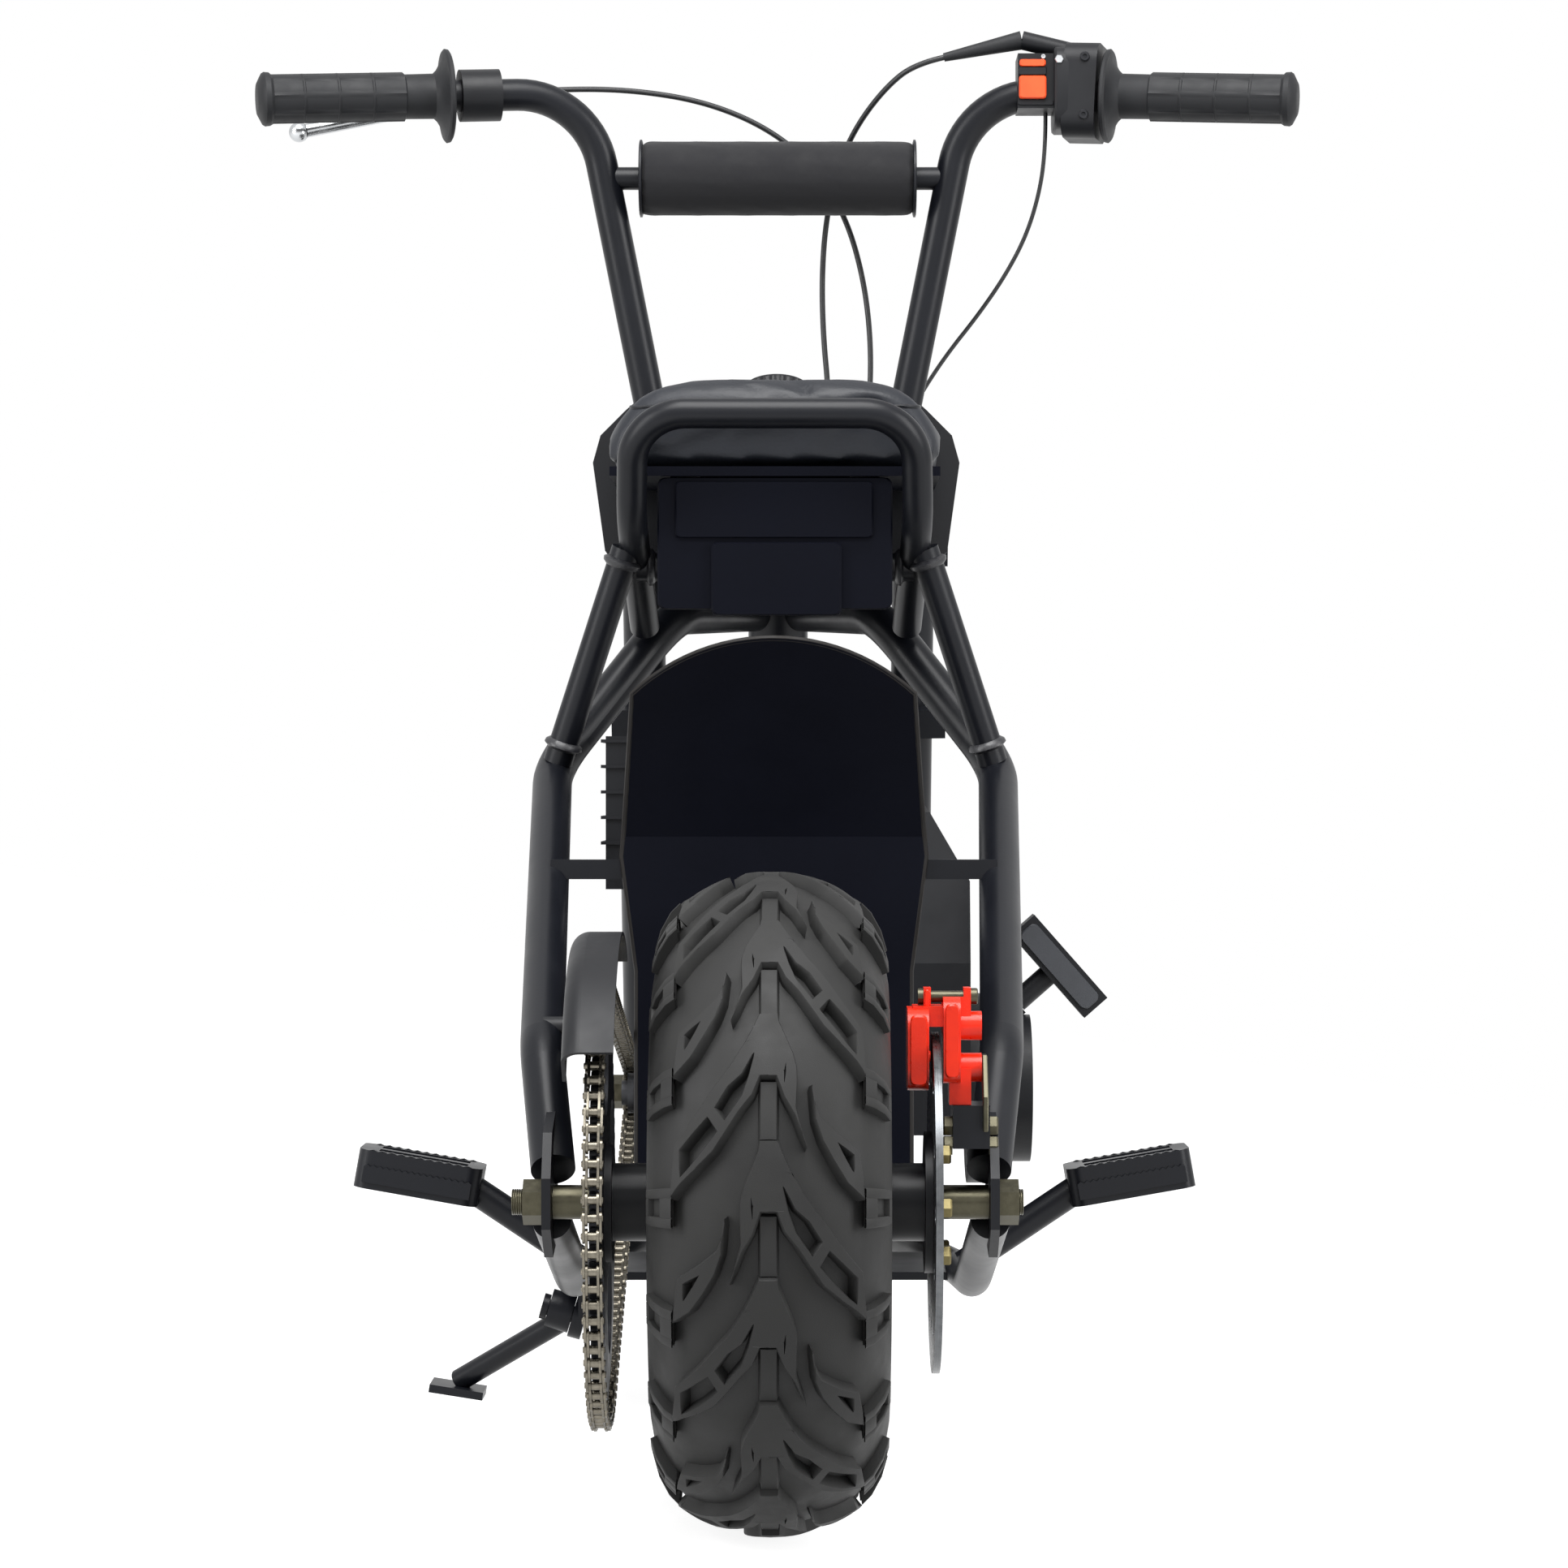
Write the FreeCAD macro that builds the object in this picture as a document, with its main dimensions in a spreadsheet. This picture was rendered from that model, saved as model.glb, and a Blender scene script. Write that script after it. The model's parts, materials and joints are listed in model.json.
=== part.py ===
import FreeCAD, Part
import math
import os
import re

import Sketcher
from FreeCAD import Placement, Rotation, Vector

# A small minibike with two fat tyres, leaning on its side stand.
# It is drawn upright: X to the rider's right, Y forwards, Z up, rear axle over Y = 0,
# ground at Z = 0. At the end every piece is leaned over and set on the ground together.

os.makedirs("parts", exist_ok=True)
doc = FreeCAD.newDocument("minibike")
sheet = doc.addObject("Spreadsheet::Sheet", "sizes")

# Driving dimensions in millimetres and degrees
SIZES = [
    # tyres
    ("wheelbase", 880), ("axle_height", 183), ("tyre_radius", 183), ("tyre_half", 65.5),
    ("crown_half", 50), ("crown_drop", 17), ("crown_arc", 83), ("crown_flat", 13),
    ("crown_middle", 32), ("shoulder_half", 63), ("shoulder_drop", 43), ("lug_height", 7),
    ("lug_root", 1), ("rubber", 9), ("bead_half", 50), ("bead_radius", 77), ("bead_height", 12),
    # rims and hubs
    ("rim_gap", 0.3), ("rim_flange", 3.7), ("rim_flange_radius", 88), ("rim_wall", 4.5),
    ("web_half", 4), ("web_hole_radius", 11), ("web_hole_place", 47), ("hub_radius", 21.5),
    ("axle_radius", 7), ("running_gap", 0.05), ("face_gap", 0.3),
    ("rear_hub_left", 91), ("rear_hub_right", 88.6), ("front_hub_half", 60),
    ("carrier_radius", 33), ("disc_carrier_radius", 39), ("carrier_thick", 4),
    # chain drive
    ("pitch", 9.525), ("rear_teeth", 80), ("front_teeth", 11), ("roller_radius", 2.54),
    ("sprocket_thick", 4), ("chain_width", 12), ("chain_height", 8.6), ("chain_inside", 5),
    ("chain_links", 134), ("drive_rise", 32), ("tooth_gap", 0.6), ("tooth_height", 3),
    # brake
    ("disc_radius", 94), ("disc_thick", 4), ("disc_bore", 25), ("disc_hole", 5),
    ("disc_holes_in", 66), ("disc_holes_out", 76), ("bolt_circle", 32), ("bolt_radius", 5),
    ("bolt_height", 6), ("pad_clear", 2),
    # frame
    ("main_tube", 25), ("cradle_tube", 22), ("stay_tube", 19), ("bridge_tube", 18),
    ("dropout_inside", 120.5), ("dropout_thick", 5), ("rake", 24), ("fork_length", 320),
    ("head_length", 110), ("head_radius", 21), ("stem_radius", 15), ("spacer_radius", 9.5),
    ("nut_flats", 22), ("nut_thick", 11), ("plate_thick", 5),
    # engine
    ("fin_foot", 252), ("fin_step", 11), ("fin_thick", 3), ("barrel_radius", 34),
    # fork and bars
    ("fork_offset", 35), ("fork_half", 96), ("stanchion_radius", 15), ("slider_radius", 20),
    ("slider_length", 212), ("crown_thick", 22), ("bar_tube", 22.2), ("bar_forward", 25),
    ("bar_up", 185), ("riser_width", 24), ("riser_place", 30), ("pad_radius", 27),
    ("pad_half", 98), ("crossbar_radius", 8), ("grip_radius", 18.5), ("grip_flange", 32),
    ("grip_length", 134), ("grip_flange_thick", 5),
    # front fender and cables
    ("guard_gap", 16), ("guard_thick", 3), ("guard_half", 62), ("cable", 4), ("wire", 3),
    ("ferrule_radius", 4.5), ("ferrule_length", 14),
    # stand and foot pegs
    ("lean", 9), ("stand_tube", 16), ("stand_pin", 5), ("foot_size", 34), ("foot_thick", 5),
    ("peg_length", 78), ("peg_width", 50), ("peg_height", 24), ("peg_tilt", 10),
]
for row, (alias, amount) in enumerate(SIZES, 1):
    sheet.set("A%d" % row, alias)
    sheet.set("B%d" % row, str(amount))
    sheet.setAlias("B%d" % row, alias)
doc.recompute()
ALIASES = {alias for alias, amount in SIZES}
pieces = []


def size(alias):
    return float(sheet.get(alias))


def formula(text):
    def named(match):
        word = match.group(0)
        return "sizes." + word if word in ALIASES else word
    return re.sub(r"[a-z_]+", named, str(text))


def number(text):
    return float(sheet.evalExpression(formula(text)))


def bind(obj, **amounts):
    for name, text in amounts.items():
        obj.setExpression(name.replace("__", "."), formula(text))


# Steering axis, as a frame of its own: Z up the axis, Y forwards, origin at the head's foot
RAKE = math.radians(size("rake"))
AXIS_UP = Vector(0, -math.sin(RAKE), math.cos(RAKE))
AXIS_FORWARD = Vector(0, math.cos(RAKE), math.sin(RAKE))
REAR_AXLE = Vector(0, 0, size("axle_height"))
FRONT_AXLE = Vector(0, size("wheelbase"), size("axle_height"))
HEAD_FOOT = FRONT_AXLE - AXIS_FORWARD * size("fork_offset") + AXIS_UP * size("fork_length")
STEERING = Placement(HEAD_FOOT, Rotation(Vector(1, 0, 0), size("rake")))
UPRIGHT = Placement()
HEAD_AS_DRAWN = Placement(Vector(0, 717.8704, 461.0987), Rotation(Vector(1, 0, 0), 24))


def on_axis(right, forward, up):
    return STEERING.multVec(Vector(right, forward, up))


# A point read off the drawing that goes along with the steering head
def front(right, forward, up):
    return STEERING.multVec(HEAD_AS_DRAWN.inverse().multVec(Vector(right, forward, up)))


def toward(direction, point=Vector(0, 0, 0)):
    return Placement(point, Rotation(Vector(0, 0, 1), direction))


def keep(obj, node, place=UPRIGHT):
    obj.Label = node
    pieces.append((obj, node, place.multiply(obj.Placement)))
    return obj


# Primitive and boolean helpers
def cylinder(name, radius, height, place=UPRIGHT):
    obj = doc.addObject("Part::Cylinder", name)
    bind(obj, Radius=radius, Height=height)
    obj.Placement = place
    return obj


def box(name, length, width, height, place=UPRIGHT):
    obj = doc.addObject("Part::Box", name)
    bind(obj, Length=length, Width=width, Height=height)
    obj.Placement = place
    return obj


def fuse(name, shapes):
    obj = doc.addObject("Part::MultiFuse", name)
    obj.Shapes = shapes
    obj.Refine = True
    return obj


def cut(name, base, tool):
    obj = doc.addObject("Part::Cut", name)
    obj.Base = base
    obj.Tool = tool
    return obj


def gather(name, shapes):
    obj = doc.addObject("Part::Compound", name)
    obj.Links = shapes
    return obj


def along_x(name, radius, low, high, forward=0.0, up=0.0):
    place = toward(Vector(1, 0, 0), Vector(number(low), forward, up))
    return cylinder(name, radius, "%s - (%s)" % (high, low), place)


def rod(name, radius, start, end):
    obj = doc.addObject("Part::Cylinder", name)
    bind(obj, Radius=radius)
    obj.Height = (end - start).Length
    obj.Placement = toward(end - start, start)
    return obj


def hexagon(name, flats, thick, place):
    obj = doc.addObject("Part::Prism", name)
    obj.Polygon = 6
    bind(obj, Circumradius="%s / 2 / cos(30 deg)" % flats, Height=thick)
    obj.Placement = place
    return obj


# Bent tubes: straight runs joined by tangent arcs, swept with a round section
def bent_path(points, radii):
    edges = []
    start = points[0]
    for corner, after, radius in zip(points[1:], points[2:], radii):
        incoming = (corner - start).normalize()
        outgoing = (after - corner).normalize()
        half_turn = incoming.getAngle(outgoing) / 2
        reach = radius * math.tan(half_turn)
        enter = corner - incoming * reach
        leave = corner + outgoing * reach
        inward = (outgoing - incoming).normalize()
        middle = corner + inward * (radius / math.cos(half_turn) - radius)
        edges.append(Part.LineSegment(start, enter).toShape())
        edges.append(Part.Arc(enter, middle, leave).toShape())
        start = leave
    edges.append(Part.LineSegment(start, points[-1]).toShape())
    return Part.Wire(edges)


def bent_tube(name, points, radii, radius):
    path = doc.addObject("Part::Feature", name + "_path")
    path.Shape = bent_path(points, radii)
    ring = doc.addObject("Part::Circle", name + "_ring")
    bind(ring, Radius=radius)
    ring.Placement = toward(points[1] - points[0], points[0])
    tube = doc.addObject("Part::Sweep", name)
    tube.Sections = [ring]
    tube.Spine = (path, ["Edge%d" % (count + 1) for count in range(len(path.Shape.Edges))])
    tube.Solid = True
    tube.Frenet = False
    return tube


def mirror_x(point):
    return Vector(-point.x, point.y, point.z)


# Sketched outlines: a point is (across, up), or (across, up, radius, turn) after an arc
def arc_between(start, end, radius, turn):
    chord = end - start
    height = math.sqrt(max(radius * radius - chord.Length * chord.Length / 4, 0))
    side = Vector(-chord.y, chord.x, 0).normalize() * (height * turn)
    centre = start + chord * 0.5 + side
    first, last = (start, end) if turn > 0 else (end, start)
    low = math.atan2(first.y - centre.y, first.x - centre.x)
    high = math.atan2(last.y - centre.y, last.x - centre.x)
    if high <= low:
        high += 2 * math.pi
    return Part.ArcOfCircle(Part.Circle(centre, Vector(0, 0, 1), radius), low, high)


def add_loop(sketch, points):
    first = sketch.GeometryCount
    corners = [Vector(number(point[0]), number(point[1]), 0) for point in points]
    ends = []
    for index, point in enumerate(points):
        start, end = corners[index - 1], corners[index]
        if len(point) == 2:
            sketch.addGeometry(Part.LineSegment(start, end), False)
            ends.append((1, 2))
        else:
            sketch.addGeometry(arc_between(start, end, number(point[2]), point[3]), False)
            ends.append((1, 2) if point[3] > 0 else (2, 1))
    for index, point in enumerate(points):
        follow = (index + 1) % len(points)
        edge = first + index
        sketch.addConstraint(Sketcher.Constraint(
            "Coincident", edge, ends[index][1], first + follow, ends[follow][0]))
        for kind, text in (("DistanceX", point[0]), ("DistanceY", point[1])):
            count = sketch.addConstraint(
                Sketcher.Constraint(kind, -1, 1, edge, ends[index][1], number(text)))
            sketch.setExpression("Constraints[%d]" % count, formula(text))
        if len(point) > 2:
            count = sketch.addConstraint(Sketcher.Constraint("Radius", edge, number(point[2])))
            sketch.setExpression("Constraints[%d]" % count, formula(point[2]))


def outline(body, role, points, offset="0", name="outline", holes=()):
    sketch = body.newObject("Sketcher::SketchObject", body.Name + "_" + name)
    plane = [item for item in body.Origin.OriginFeatures if item.Role == role][0]
    sketch.AttachmentSupport = [(plane, "")]
    sketch.MapMode = "FlatFace"
    bind(sketch, AttachmentOffset__Base__z=offset)
    for loop in [points] + list(holes):
        add_loop(sketch, loop)
    return sketch


def new_body(name):
    return doc.addObject("PartDesign::Body", name)


def pad(body, sketch, length, backwards=False):
    feature = body.newObject("PartDesign::Pad", body.Name + "_pad")
    feature.Profile = sketch
    bind(feature, Length=length)
    feature.Reversed = backwards
    return feature


def spin(body, sketch, axis="H_Axis"):
    feature = body.newObject("PartDesign::Revolution", body.Name + "_spin")
    feature.Profile = sketch
    feature.ReferenceAxis = (sketch, [axis])
    feature.Angle = 360
    return feature


# Tyre: a carcass turned about the axle, with trimmed lugs raised on it all the way round
def crown(across):
    return "tyre_radius - crown_arc + sqrt(crown_arc ^ 2 - (%s) ^ 2)" % across


def both_sides(half):
    return half + [("-(%s)" % across, up) for across, up in reversed(half)]


CARCASS = [
    ("bead_half", "bead_radius"), ("bead_half", "bead_radius + bead_height"),
    ("tyre_half - 6.5", "bead_radius + bead_height + 10"), ("tyre_half", "bead_radius + 41"),
    ("shoulder_half", "tyre_radius - shoulder_drop - 6"),
    ("shoulder_half - 6.5", "tyre_radius - shoulder_drop"),
    ("crown_half - 5", "tyre_radius - crown_drop - 6"),
    ("crown_middle - 2", "%s - lug_height" % crown("crown_middle - 2")),
    ("crown_flat", "%s - lug_height" % crown("crown_flat"))]
INSIDE = [
    ("bead_half - rubber", "bead_radius"), ("shoulder_half - 13", "bead_radius + 24"),
    ("shoulder_half - 6.5", "bead_radius + 42"), ("crown_half", "tyre_radius - shoulder_drop"),
    ("crown_middle - 8", "tyre_radius - crown_drop - 3")]
LUG_TOPS = [
    ("shoulder_half", "tyre_radius - shoulder_drop"), ("crown_half", "tyre_radius - crown_drop"),
    ("crown_middle", crown("crown_middle")), ("crown_flat", crown("crown_flat"))]
LUG_ROOTS = [
    ("shoulder_half - 1", "tyre_radius - shoulder_drop - 7"),
    ("shoulder_half - 7.5", "tyre_radius - shoulder_drop - lug_root"),
    ("crown_half - 6", "tyre_radius - crown_drop - 6 - lug_root"),
    ("crown_middle - 2.5", "%s - lug_height - lug_root" % crown("crown_middle - 2")),
    ("crown_flat", "%s - lug_height - lug_root" % crown("crown_flat"))]

# Lug outlines: across the tread, and degrees back from the chevron's tip
CHEVRON = [(5, 0), (49, 22.3), (51.5, 31.9), (22, 20.6), (4.4, 11.6), (-4, 11.6), (-20, 23),
           (-15, 10), (-5, 0)]
POCKET = [(30.5, 18.6), (45.8, 23.3), (45.5, 28), (27, 20.6)]
SHOULDER = [(-23, 12.6), (-30, 17), (-49, 24), (-50.3, 32), (-33, 25.4)]
BLOCK = [(52, 7.6), (72, 7.6), (72, 14.8), (52, 14.8)]
OTHER_BLOCK = [(-across, back) for across, back in BLOCK]
# outline, its middle in degrees, holes in it
LUGS = [(CHEVRON, 16, [POCKET]), (SHOULDER, 22, []), (BLOCK, 11, []), (OTHER_BLOCK, 11, [])]
CHEVRON_TIP = 15.3
LUG_STEP = 22.5


def lug(name, points, middle, tip, side, holes):
    body = new_body(name)

    def laid(loop):
        return [("%g" % (side * across), "-tyre_radius * sin(%g deg)" % (back - middle))
                for across, back in loop]
    sketch = outline(body, "XY_Plane", laid(points), "tyre_radius / 2",
                     holes=[laid(hole) for hole in holes])
    pad(body, sketch, "tyre_radius")
    body.Placement = Placement(Vector(0, 0, 0), Rotation(Vector(1, 0, 0), 90 - tip + middle))
    return body


def tread():
    ring = new_body("tread_ring")
    roots = both_sides(LUG_ROOTS)
    spin(ring, outline(ring, "XY_Plane", both_sides(LUG_TOPS) + roots[::-1]))
    kinds = []
    for side in (1, -1):
        tip = CHEVRON_TIP + (LUG_STEP if side < 0 else 0)
        for index, (points, middle, holes) in enumerate(LUGS):
            name = "lug_%d_%d" % (index, side + 1)
            common = doc.addObject("Part::Common", name + "_trimmed")
            common.Base = ring
            common.Tool = lug(name, points, middle, tip, side, holes)
            kinds.append(common)
    doc.recompute()
    copies = []
    for step in range(8):
        turn = Placement(Vector(0, 0, 0), Rotation(Vector(1, 0, 0), 2 * LUG_STEP * step))
        for kind in kinds:
            copy = doc.addObject("Part::Feature", "%s_%d" % (kind.Name, step))
            copy.Shape = kind.Shape.copy()
            copy.Placement = turn
            copies.append(copy)
    return copies


def tyres():
    carcass = new_body("tyre_carcass")
    spin(carcass, outline(carcass, "XY_Plane", both_sides(CARCASS) + both_sides(INSIDE)[::-1]))
    whole = doc.addObject("Part::MultiFuse", "rear_tyre")
    whole.Shapes = [carcass] + tread()
    whole.Refine = False
    keep(whole, "rear_tyre", Placement(REAR_AXLE, Rotation()))
    doc.recompute()
    front_tyre = doc.addObject("Part::Feature", "front_tyre")
    front_tyre.Shape = whole.Shape.copy()
    keep(front_tyre, "front_tyre", Placement(FRONT_AXLE, Rotation()))


# Rim: bead seats, flanges, a web with round windows, and the hub in one turned piece
def rim(node, centre, left, right, left_flange, right_flange):
    body = new_body(node)
    seat = "bead_radius - rim_gap"
    lip = "bead_half + rim_gap"
    rim_edge = "%s + rim_flange" % lip
    barrel = "%s - rim_wall" % seat
    bore = "axle_radius + running_gap"
    section = [
        (rim_edge, "rim_flange_radius"), (lip, "rim_flange_radius"), (lip, seat),
        ("-(%s)" % lip, seat), ("-(%s)" % lip, "rim_flange_radius"),
        ("-(%s)" % rim_edge, "rim_flange_radius"), ("-(%s)" % rim_edge, barrel),
        ("-web_half", barrel), ("-web_half", "hub_radius"),
        ("carrier_thick - %s" % left, "hub_radius"), ("carrier_thick - %s" % left, left_flange),
        ("-%s" % left, left_flange), ("-%s" % left, bore), (right, bore), (right, right_flange),
        ("%s - carrier_thick" % right, right_flange), ("%s - carrier_thick" % right, "hub_radius"),
        ("web_half", "hub_radius"), ("web_half", barrel), (rim_edge, barrel),
    ]
    spin(body, outline(body, "XY_Plane", section))
    doc.recompute()
    windows = []
    for step in range(6):
        turn = math.radians(60 * step)
        reach = size("web_hole_place")
        place = toward(Vector(1, 0, 0), Vector(-20, reach * math.cos(turn), reach * math.sin(turn)))
        windows.append(cylinder("%s_window_%d" % (node, step), "web_hole_radius", "40", place))
    drilled = cut(node + "_drilled", body, fuse(node + "_windows", windows))
    return keep(drilled, node, Placement(centre, Rotation()))


# Rear sprocket, brake disc: thin turned plates on the hub's two flanges
def pitch_radius(teeth):
    return size("pitch") / 2 / math.sin(math.pi / size(teeth))


def toothed_plate(name, teeth, root, tip, thick):
    step = 2 * math.pi / size(teeth)
    rim_points = []
    for tooth in range(int(size(teeth))):
        for share, radius in ((-0.34, root), (-0.16, tip), (0.16, tip), (0.34, root)):
            turn = step * (tooth + share)
            rim_points.append(Vector(0, radius * math.cos(turn), radius * math.sin(turn)))
    rim_points.append(rim_points[0])
    plate = doc.addObject("Part::Feature", name)
    plate.Shape = Part.Face(Part.makePolygon(rim_points)).extrude(Vector(size(thick), 0, 0))
    return plate


def sprocket():
    tip = pitch_radius("rear_teeth") - size("roller_radius") - size("tooth_gap")
    left = -size("rear_hub_left") - size("sprocket_thick")
    start = REAR_AXLE + Vector(left, 0, 0)
    plate = toothed_plate("sprocket_plate", "rear_teeth", tip - size("tooth_height"), tip,
                          "sprocket_thick")
    plate.Placement = Placement(start, Rotation())
    tools = [cylinder("sprocket_bore", "hub_radius", "sprocket_thick",
                      toward(Vector(1, 0, 0), start))]
    for step in range(5):
        turn = math.radians(72 * step + 18)
        offset = Vector(0, math.cos(turn), math.sin(turn)) * 76
        hole = toward(Vector(1, 0, 0), start + offset)
        tools.append(cylinder("sprocket_window_%d" % step, "28", "sprocket_thick", hole))
    return keep(cut("sprocket_cut", plate, fuse("sprocket_tools", tools)), "rear_sprocket")


def brake_disc():
    start = REAR_AXLE + Vector(size("rear_hub_right"), 0, 0)
    place = toward(Vector(1, 0, 0), start)
    plate = cylinder("disc_plate", "disc_radius", "disc_thick", place)
    tools = [cylinder("disc_bore_tool", "disc_bore", "disc_thick", place)]
    for step in range(12):
        turn = math.radians(30 * step)
        reach = size("disc_holes_in" if step % 2 else "disc_holes_out")
        offset = Vector(0, math.cos(turn), math.sin(turn)) * reach
        hole = toward(Vector(1, 0, 0), start + offset)
        tools.append(cylinder("disc_hole_%d" % step, "disc_hole", "disc_thick", hole))
    rotor = cut("disc_cut", plate, fuse("disc_tools", tools))
    return keep(rotor, "brake_disc")


def disc_bolts():
    bolts = []
    start = size("rear_hub_right") + size("disc_thick")
    for step in range(6):
        turn = math.radians(60 * step)
        offset = Vector(0, math.cos(turn), math.sin(turn)) * size("bolt_circle")
        place = toward(Vector(1, 0, 0), REAR_AXLE + Vector(start, 0, 0) + offset)
        bolts.append(cylinder("disc_bolt_%d" % step, "bolt_radius", "bolt_height", place))
    return keep(gather("disc_bolts_all", bolts), "disc_bolts")


# Axles: a rod with a hexagon at each end
def axle(node, centre, left, right, nut_left, nut_right):
    thick = size("nut_thick")
    shaft = along_x(node + "_shaft", "axle_radius", -left, right, centre.y, centre.z)
    nuts = []
    for mark, low in (("left", -nut_left - thick), ("right", nut_right)):
        place = toward(Vector(1, 0, 0), Vector(low, centre.y, centre.z))
        nuts.append(hexagon("%s_nut_%s" % (node, mark), "nut_flats", "nut_thick", place))
    return keep(fuse(node + "_all", [shaft] + nuts), node)


def spacers(node, centre, spans):
    rings = []
    for index, (low, high) in enumerate(spans):
        outer = along_x("%s_outer_%d" % (node, index), "spacer_radius", low, high, centre.y, centre.z)
        inner = along_x("%s_inner_%d" % (node, index), "axle_radius + running_gap", low, high,
                        centre.y, centre.z)
        rings.append(cut("%s_ring_%d" % (node, index), outer, inner))
    return keep(gather(node + "_all", rings), node)


# The front sprocket stands as far ahead as the chain's whole number of links asks
def chain_pitches(reach):
    big, small = pitch_radius("rear_teeth"), pitch_radius("front_teeth")
    tilt = math.acos((big - small) / reach)
    round_rear = size("rear_teeth") * (1 - tilt / math.pi)
    round_front = size("front_teeth") * tilt / math.pi
    return 2 * reach * math.sin(tilt) / size("pitch") + round_rear + round_front


def drive_reach():
    reach = size("chain_links") * size("pitch") / 3
    for step in range(12):
        reach += (size("chain_links") - chain_pitches(reach)) * size("pitch") / 2
    return reach


DRIVE_REACH = drive_reach()
DRIVE = REAR_AXLE + Vector(
    0, math.sqrt(DRIVE_REACH ** 2 - size("drive_rise") ** 2), size("drive_rise"))

# Frame tubes
MAIN_POINTS = [front(16, 674, 534), Vector(68, 455, 524), Vector(143, 400, 425),
               Vector(131, 75, 262), Vector(121, 12, 200)]
MAIN_BENDS = [60, 55, 70]
CRADLE_POINTS = [front(16, 697, 505), Vector(60, FRONT_AXLE.y - 280, 112), Vector(118, 430, 100),
                 Vector(119, 200, 118), Vector(122, 14, 172)]
CRADLE_BENDS = [50, 90, 200]
LOOP_POINTS = [Vector(85, 428, 516), Vector(90, 335, 580), Vector(88, 300, 644)]
STAY_POINTS = [Vector(94, 358, 563), Vector(139, 385, 428)]


def head_tube():
    tube = cylinder("head_outer", "head_radius", "head_length", STEERING)
    bore = cylinder("head_bore", "stem_radius + running_gap", "head_length", STEERING)
    return keep(cut("head_tube_cut", tube, bore), "head_tube")


def head_blank(name):
    return cylinder(name, "head_radius", "head_length", STEERING)


def tube_pair(node, points, bends, radius, tools):
    sides = []
    for mark, turned in (("left", mirror_x), ("right", lambda point: point)):
        path = [turned(point) for point in points]
        tube = bent_tube("%s_%s" % (node, mark), path, bends, radius)
        sides.append(cut("%s_%s_cope" % (node, mark), tube, tools(mark)))
    return keep(gather(node + "_pair", sides), node)


def side_blank(name, points, bends, radius, mark):
    path = [mirror_x(point) for point in points] if mark == "left" else points
    return bent_tube("%s_%s" % (name, mark), path, bends, radius)


def main_tubes():
    return tube_pair("main_tubes", MAIN_POINTS, MAIN_BENDS, "main_tube / 2",
                     lambda mark: fuse("main_tool_" + mark, [
                         head_blank("main_head_" + mark), dropout_blank("main_drop_" + mark, mark)]))


def cradle_tubes():
    return tube_pair("cradle_tubes", CRADLE_POINTS, CRADLE_BENDS, "cradle_tube / 2",
                     lambda mark: fuse("cradle_tool_" + mark, [
                         head_blank("cradle_head_" + mark),
                         dropout_blank("cradle_drop_" + mark, mark),
                         side_blank("cradle_main", MAIN_POINTS, MAIN_BENDS, "main_tube / 2", mark)]))


def seat_loop():
    right = LOOP_POINTS
    left = [mirror_x(point) for point in reversed(right)]
    tube = bent_tube("seat_loop_tube", right + left, [70, 34, 34, 70], "stay_tube / 2")
    tool = fuse("seat_loop_tool", [
        side_blank("loop_main", MAIN_POINTS, MAIN_BENDS, "main_tube / 2", mark)
        for mark in ("left", "right")])
    return keep(cut("seat_loop_cope", tube, tool), "seat_loop")


def seat_stays():
    stays = []
    for mark in ("left", "right"):
        points = [mirror_x(point) for point in STAY_POINTS] if mark == "left" else STAY_POINTS
        stay = rod("stay_rod_" + mark, "stay_tube / 2", points[0], points[1])
        loop = LOOP_POINTS + [mirror_x(point) for point in reversed(LOOP_POINTS)]
        tool = fuse("stay_tool_" + mark, [
            side_blank("stay_main", MAIN_POINTS, MAIN_BENDS, "main_tube / 2", mark),
            bent_tube("stay_loop_" + mark, loop, [70, 34, 34, 70], "stay_tube / 2")])
        stays.append(cut("stay_cope_" + mark, stay, tool))
    return keep(gather("seat_stays_pair", stays), "seat_stays")


DROPOUT = [(-24, 170), (-24, 198), (-8, 222), (30, 232), (62, 218), (40, 158), (4, 152)]


def dropout_blank(name, mark):
    body = new_body(name)
    sketch = outline(body, "YZ_Plane", DROPOUT, "dropout_inside" if mark == "right"
                     else "-dropout_inside - dropout_thick")
    pad(body, sketch, "dropout_thick")
    return body


def dropouts():
    plates = []
    for mark in ("left", "right"):
        plate = dropout_blank("dropout_" + mark, mark)
        side = 1 if mark == "right" else -1
        hole = along_x("dropout_hole_" + mark, "axle_radius + running_gap", side * 123 - 5,
                       side * 123 + 5, 0.0, REAR_AXLE.z)
        plates.append(cut("dropout_cut_" + mark, plate, hole))
    return keep(gather("dropouts_pair", plates), "dropouts")


# Engine plate between the cradle tubes, coped round them
def engine_plate():
    plate = box("engine_plate_box", "226", "120", "plate_thick",
                Placement(Vector(-113, 330, 103), Rotation()))
    tool = fuse("engine_plate_tool", [
        side_blank("plate_cradle", CRADLE_POINTS, CRADLE_BENDS, "cradle_tube / 2", mark)
        for mark in ("left", "right")])
    return keep(cut("engine_plate_cut", plate, tool), "engine_plate")


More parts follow.
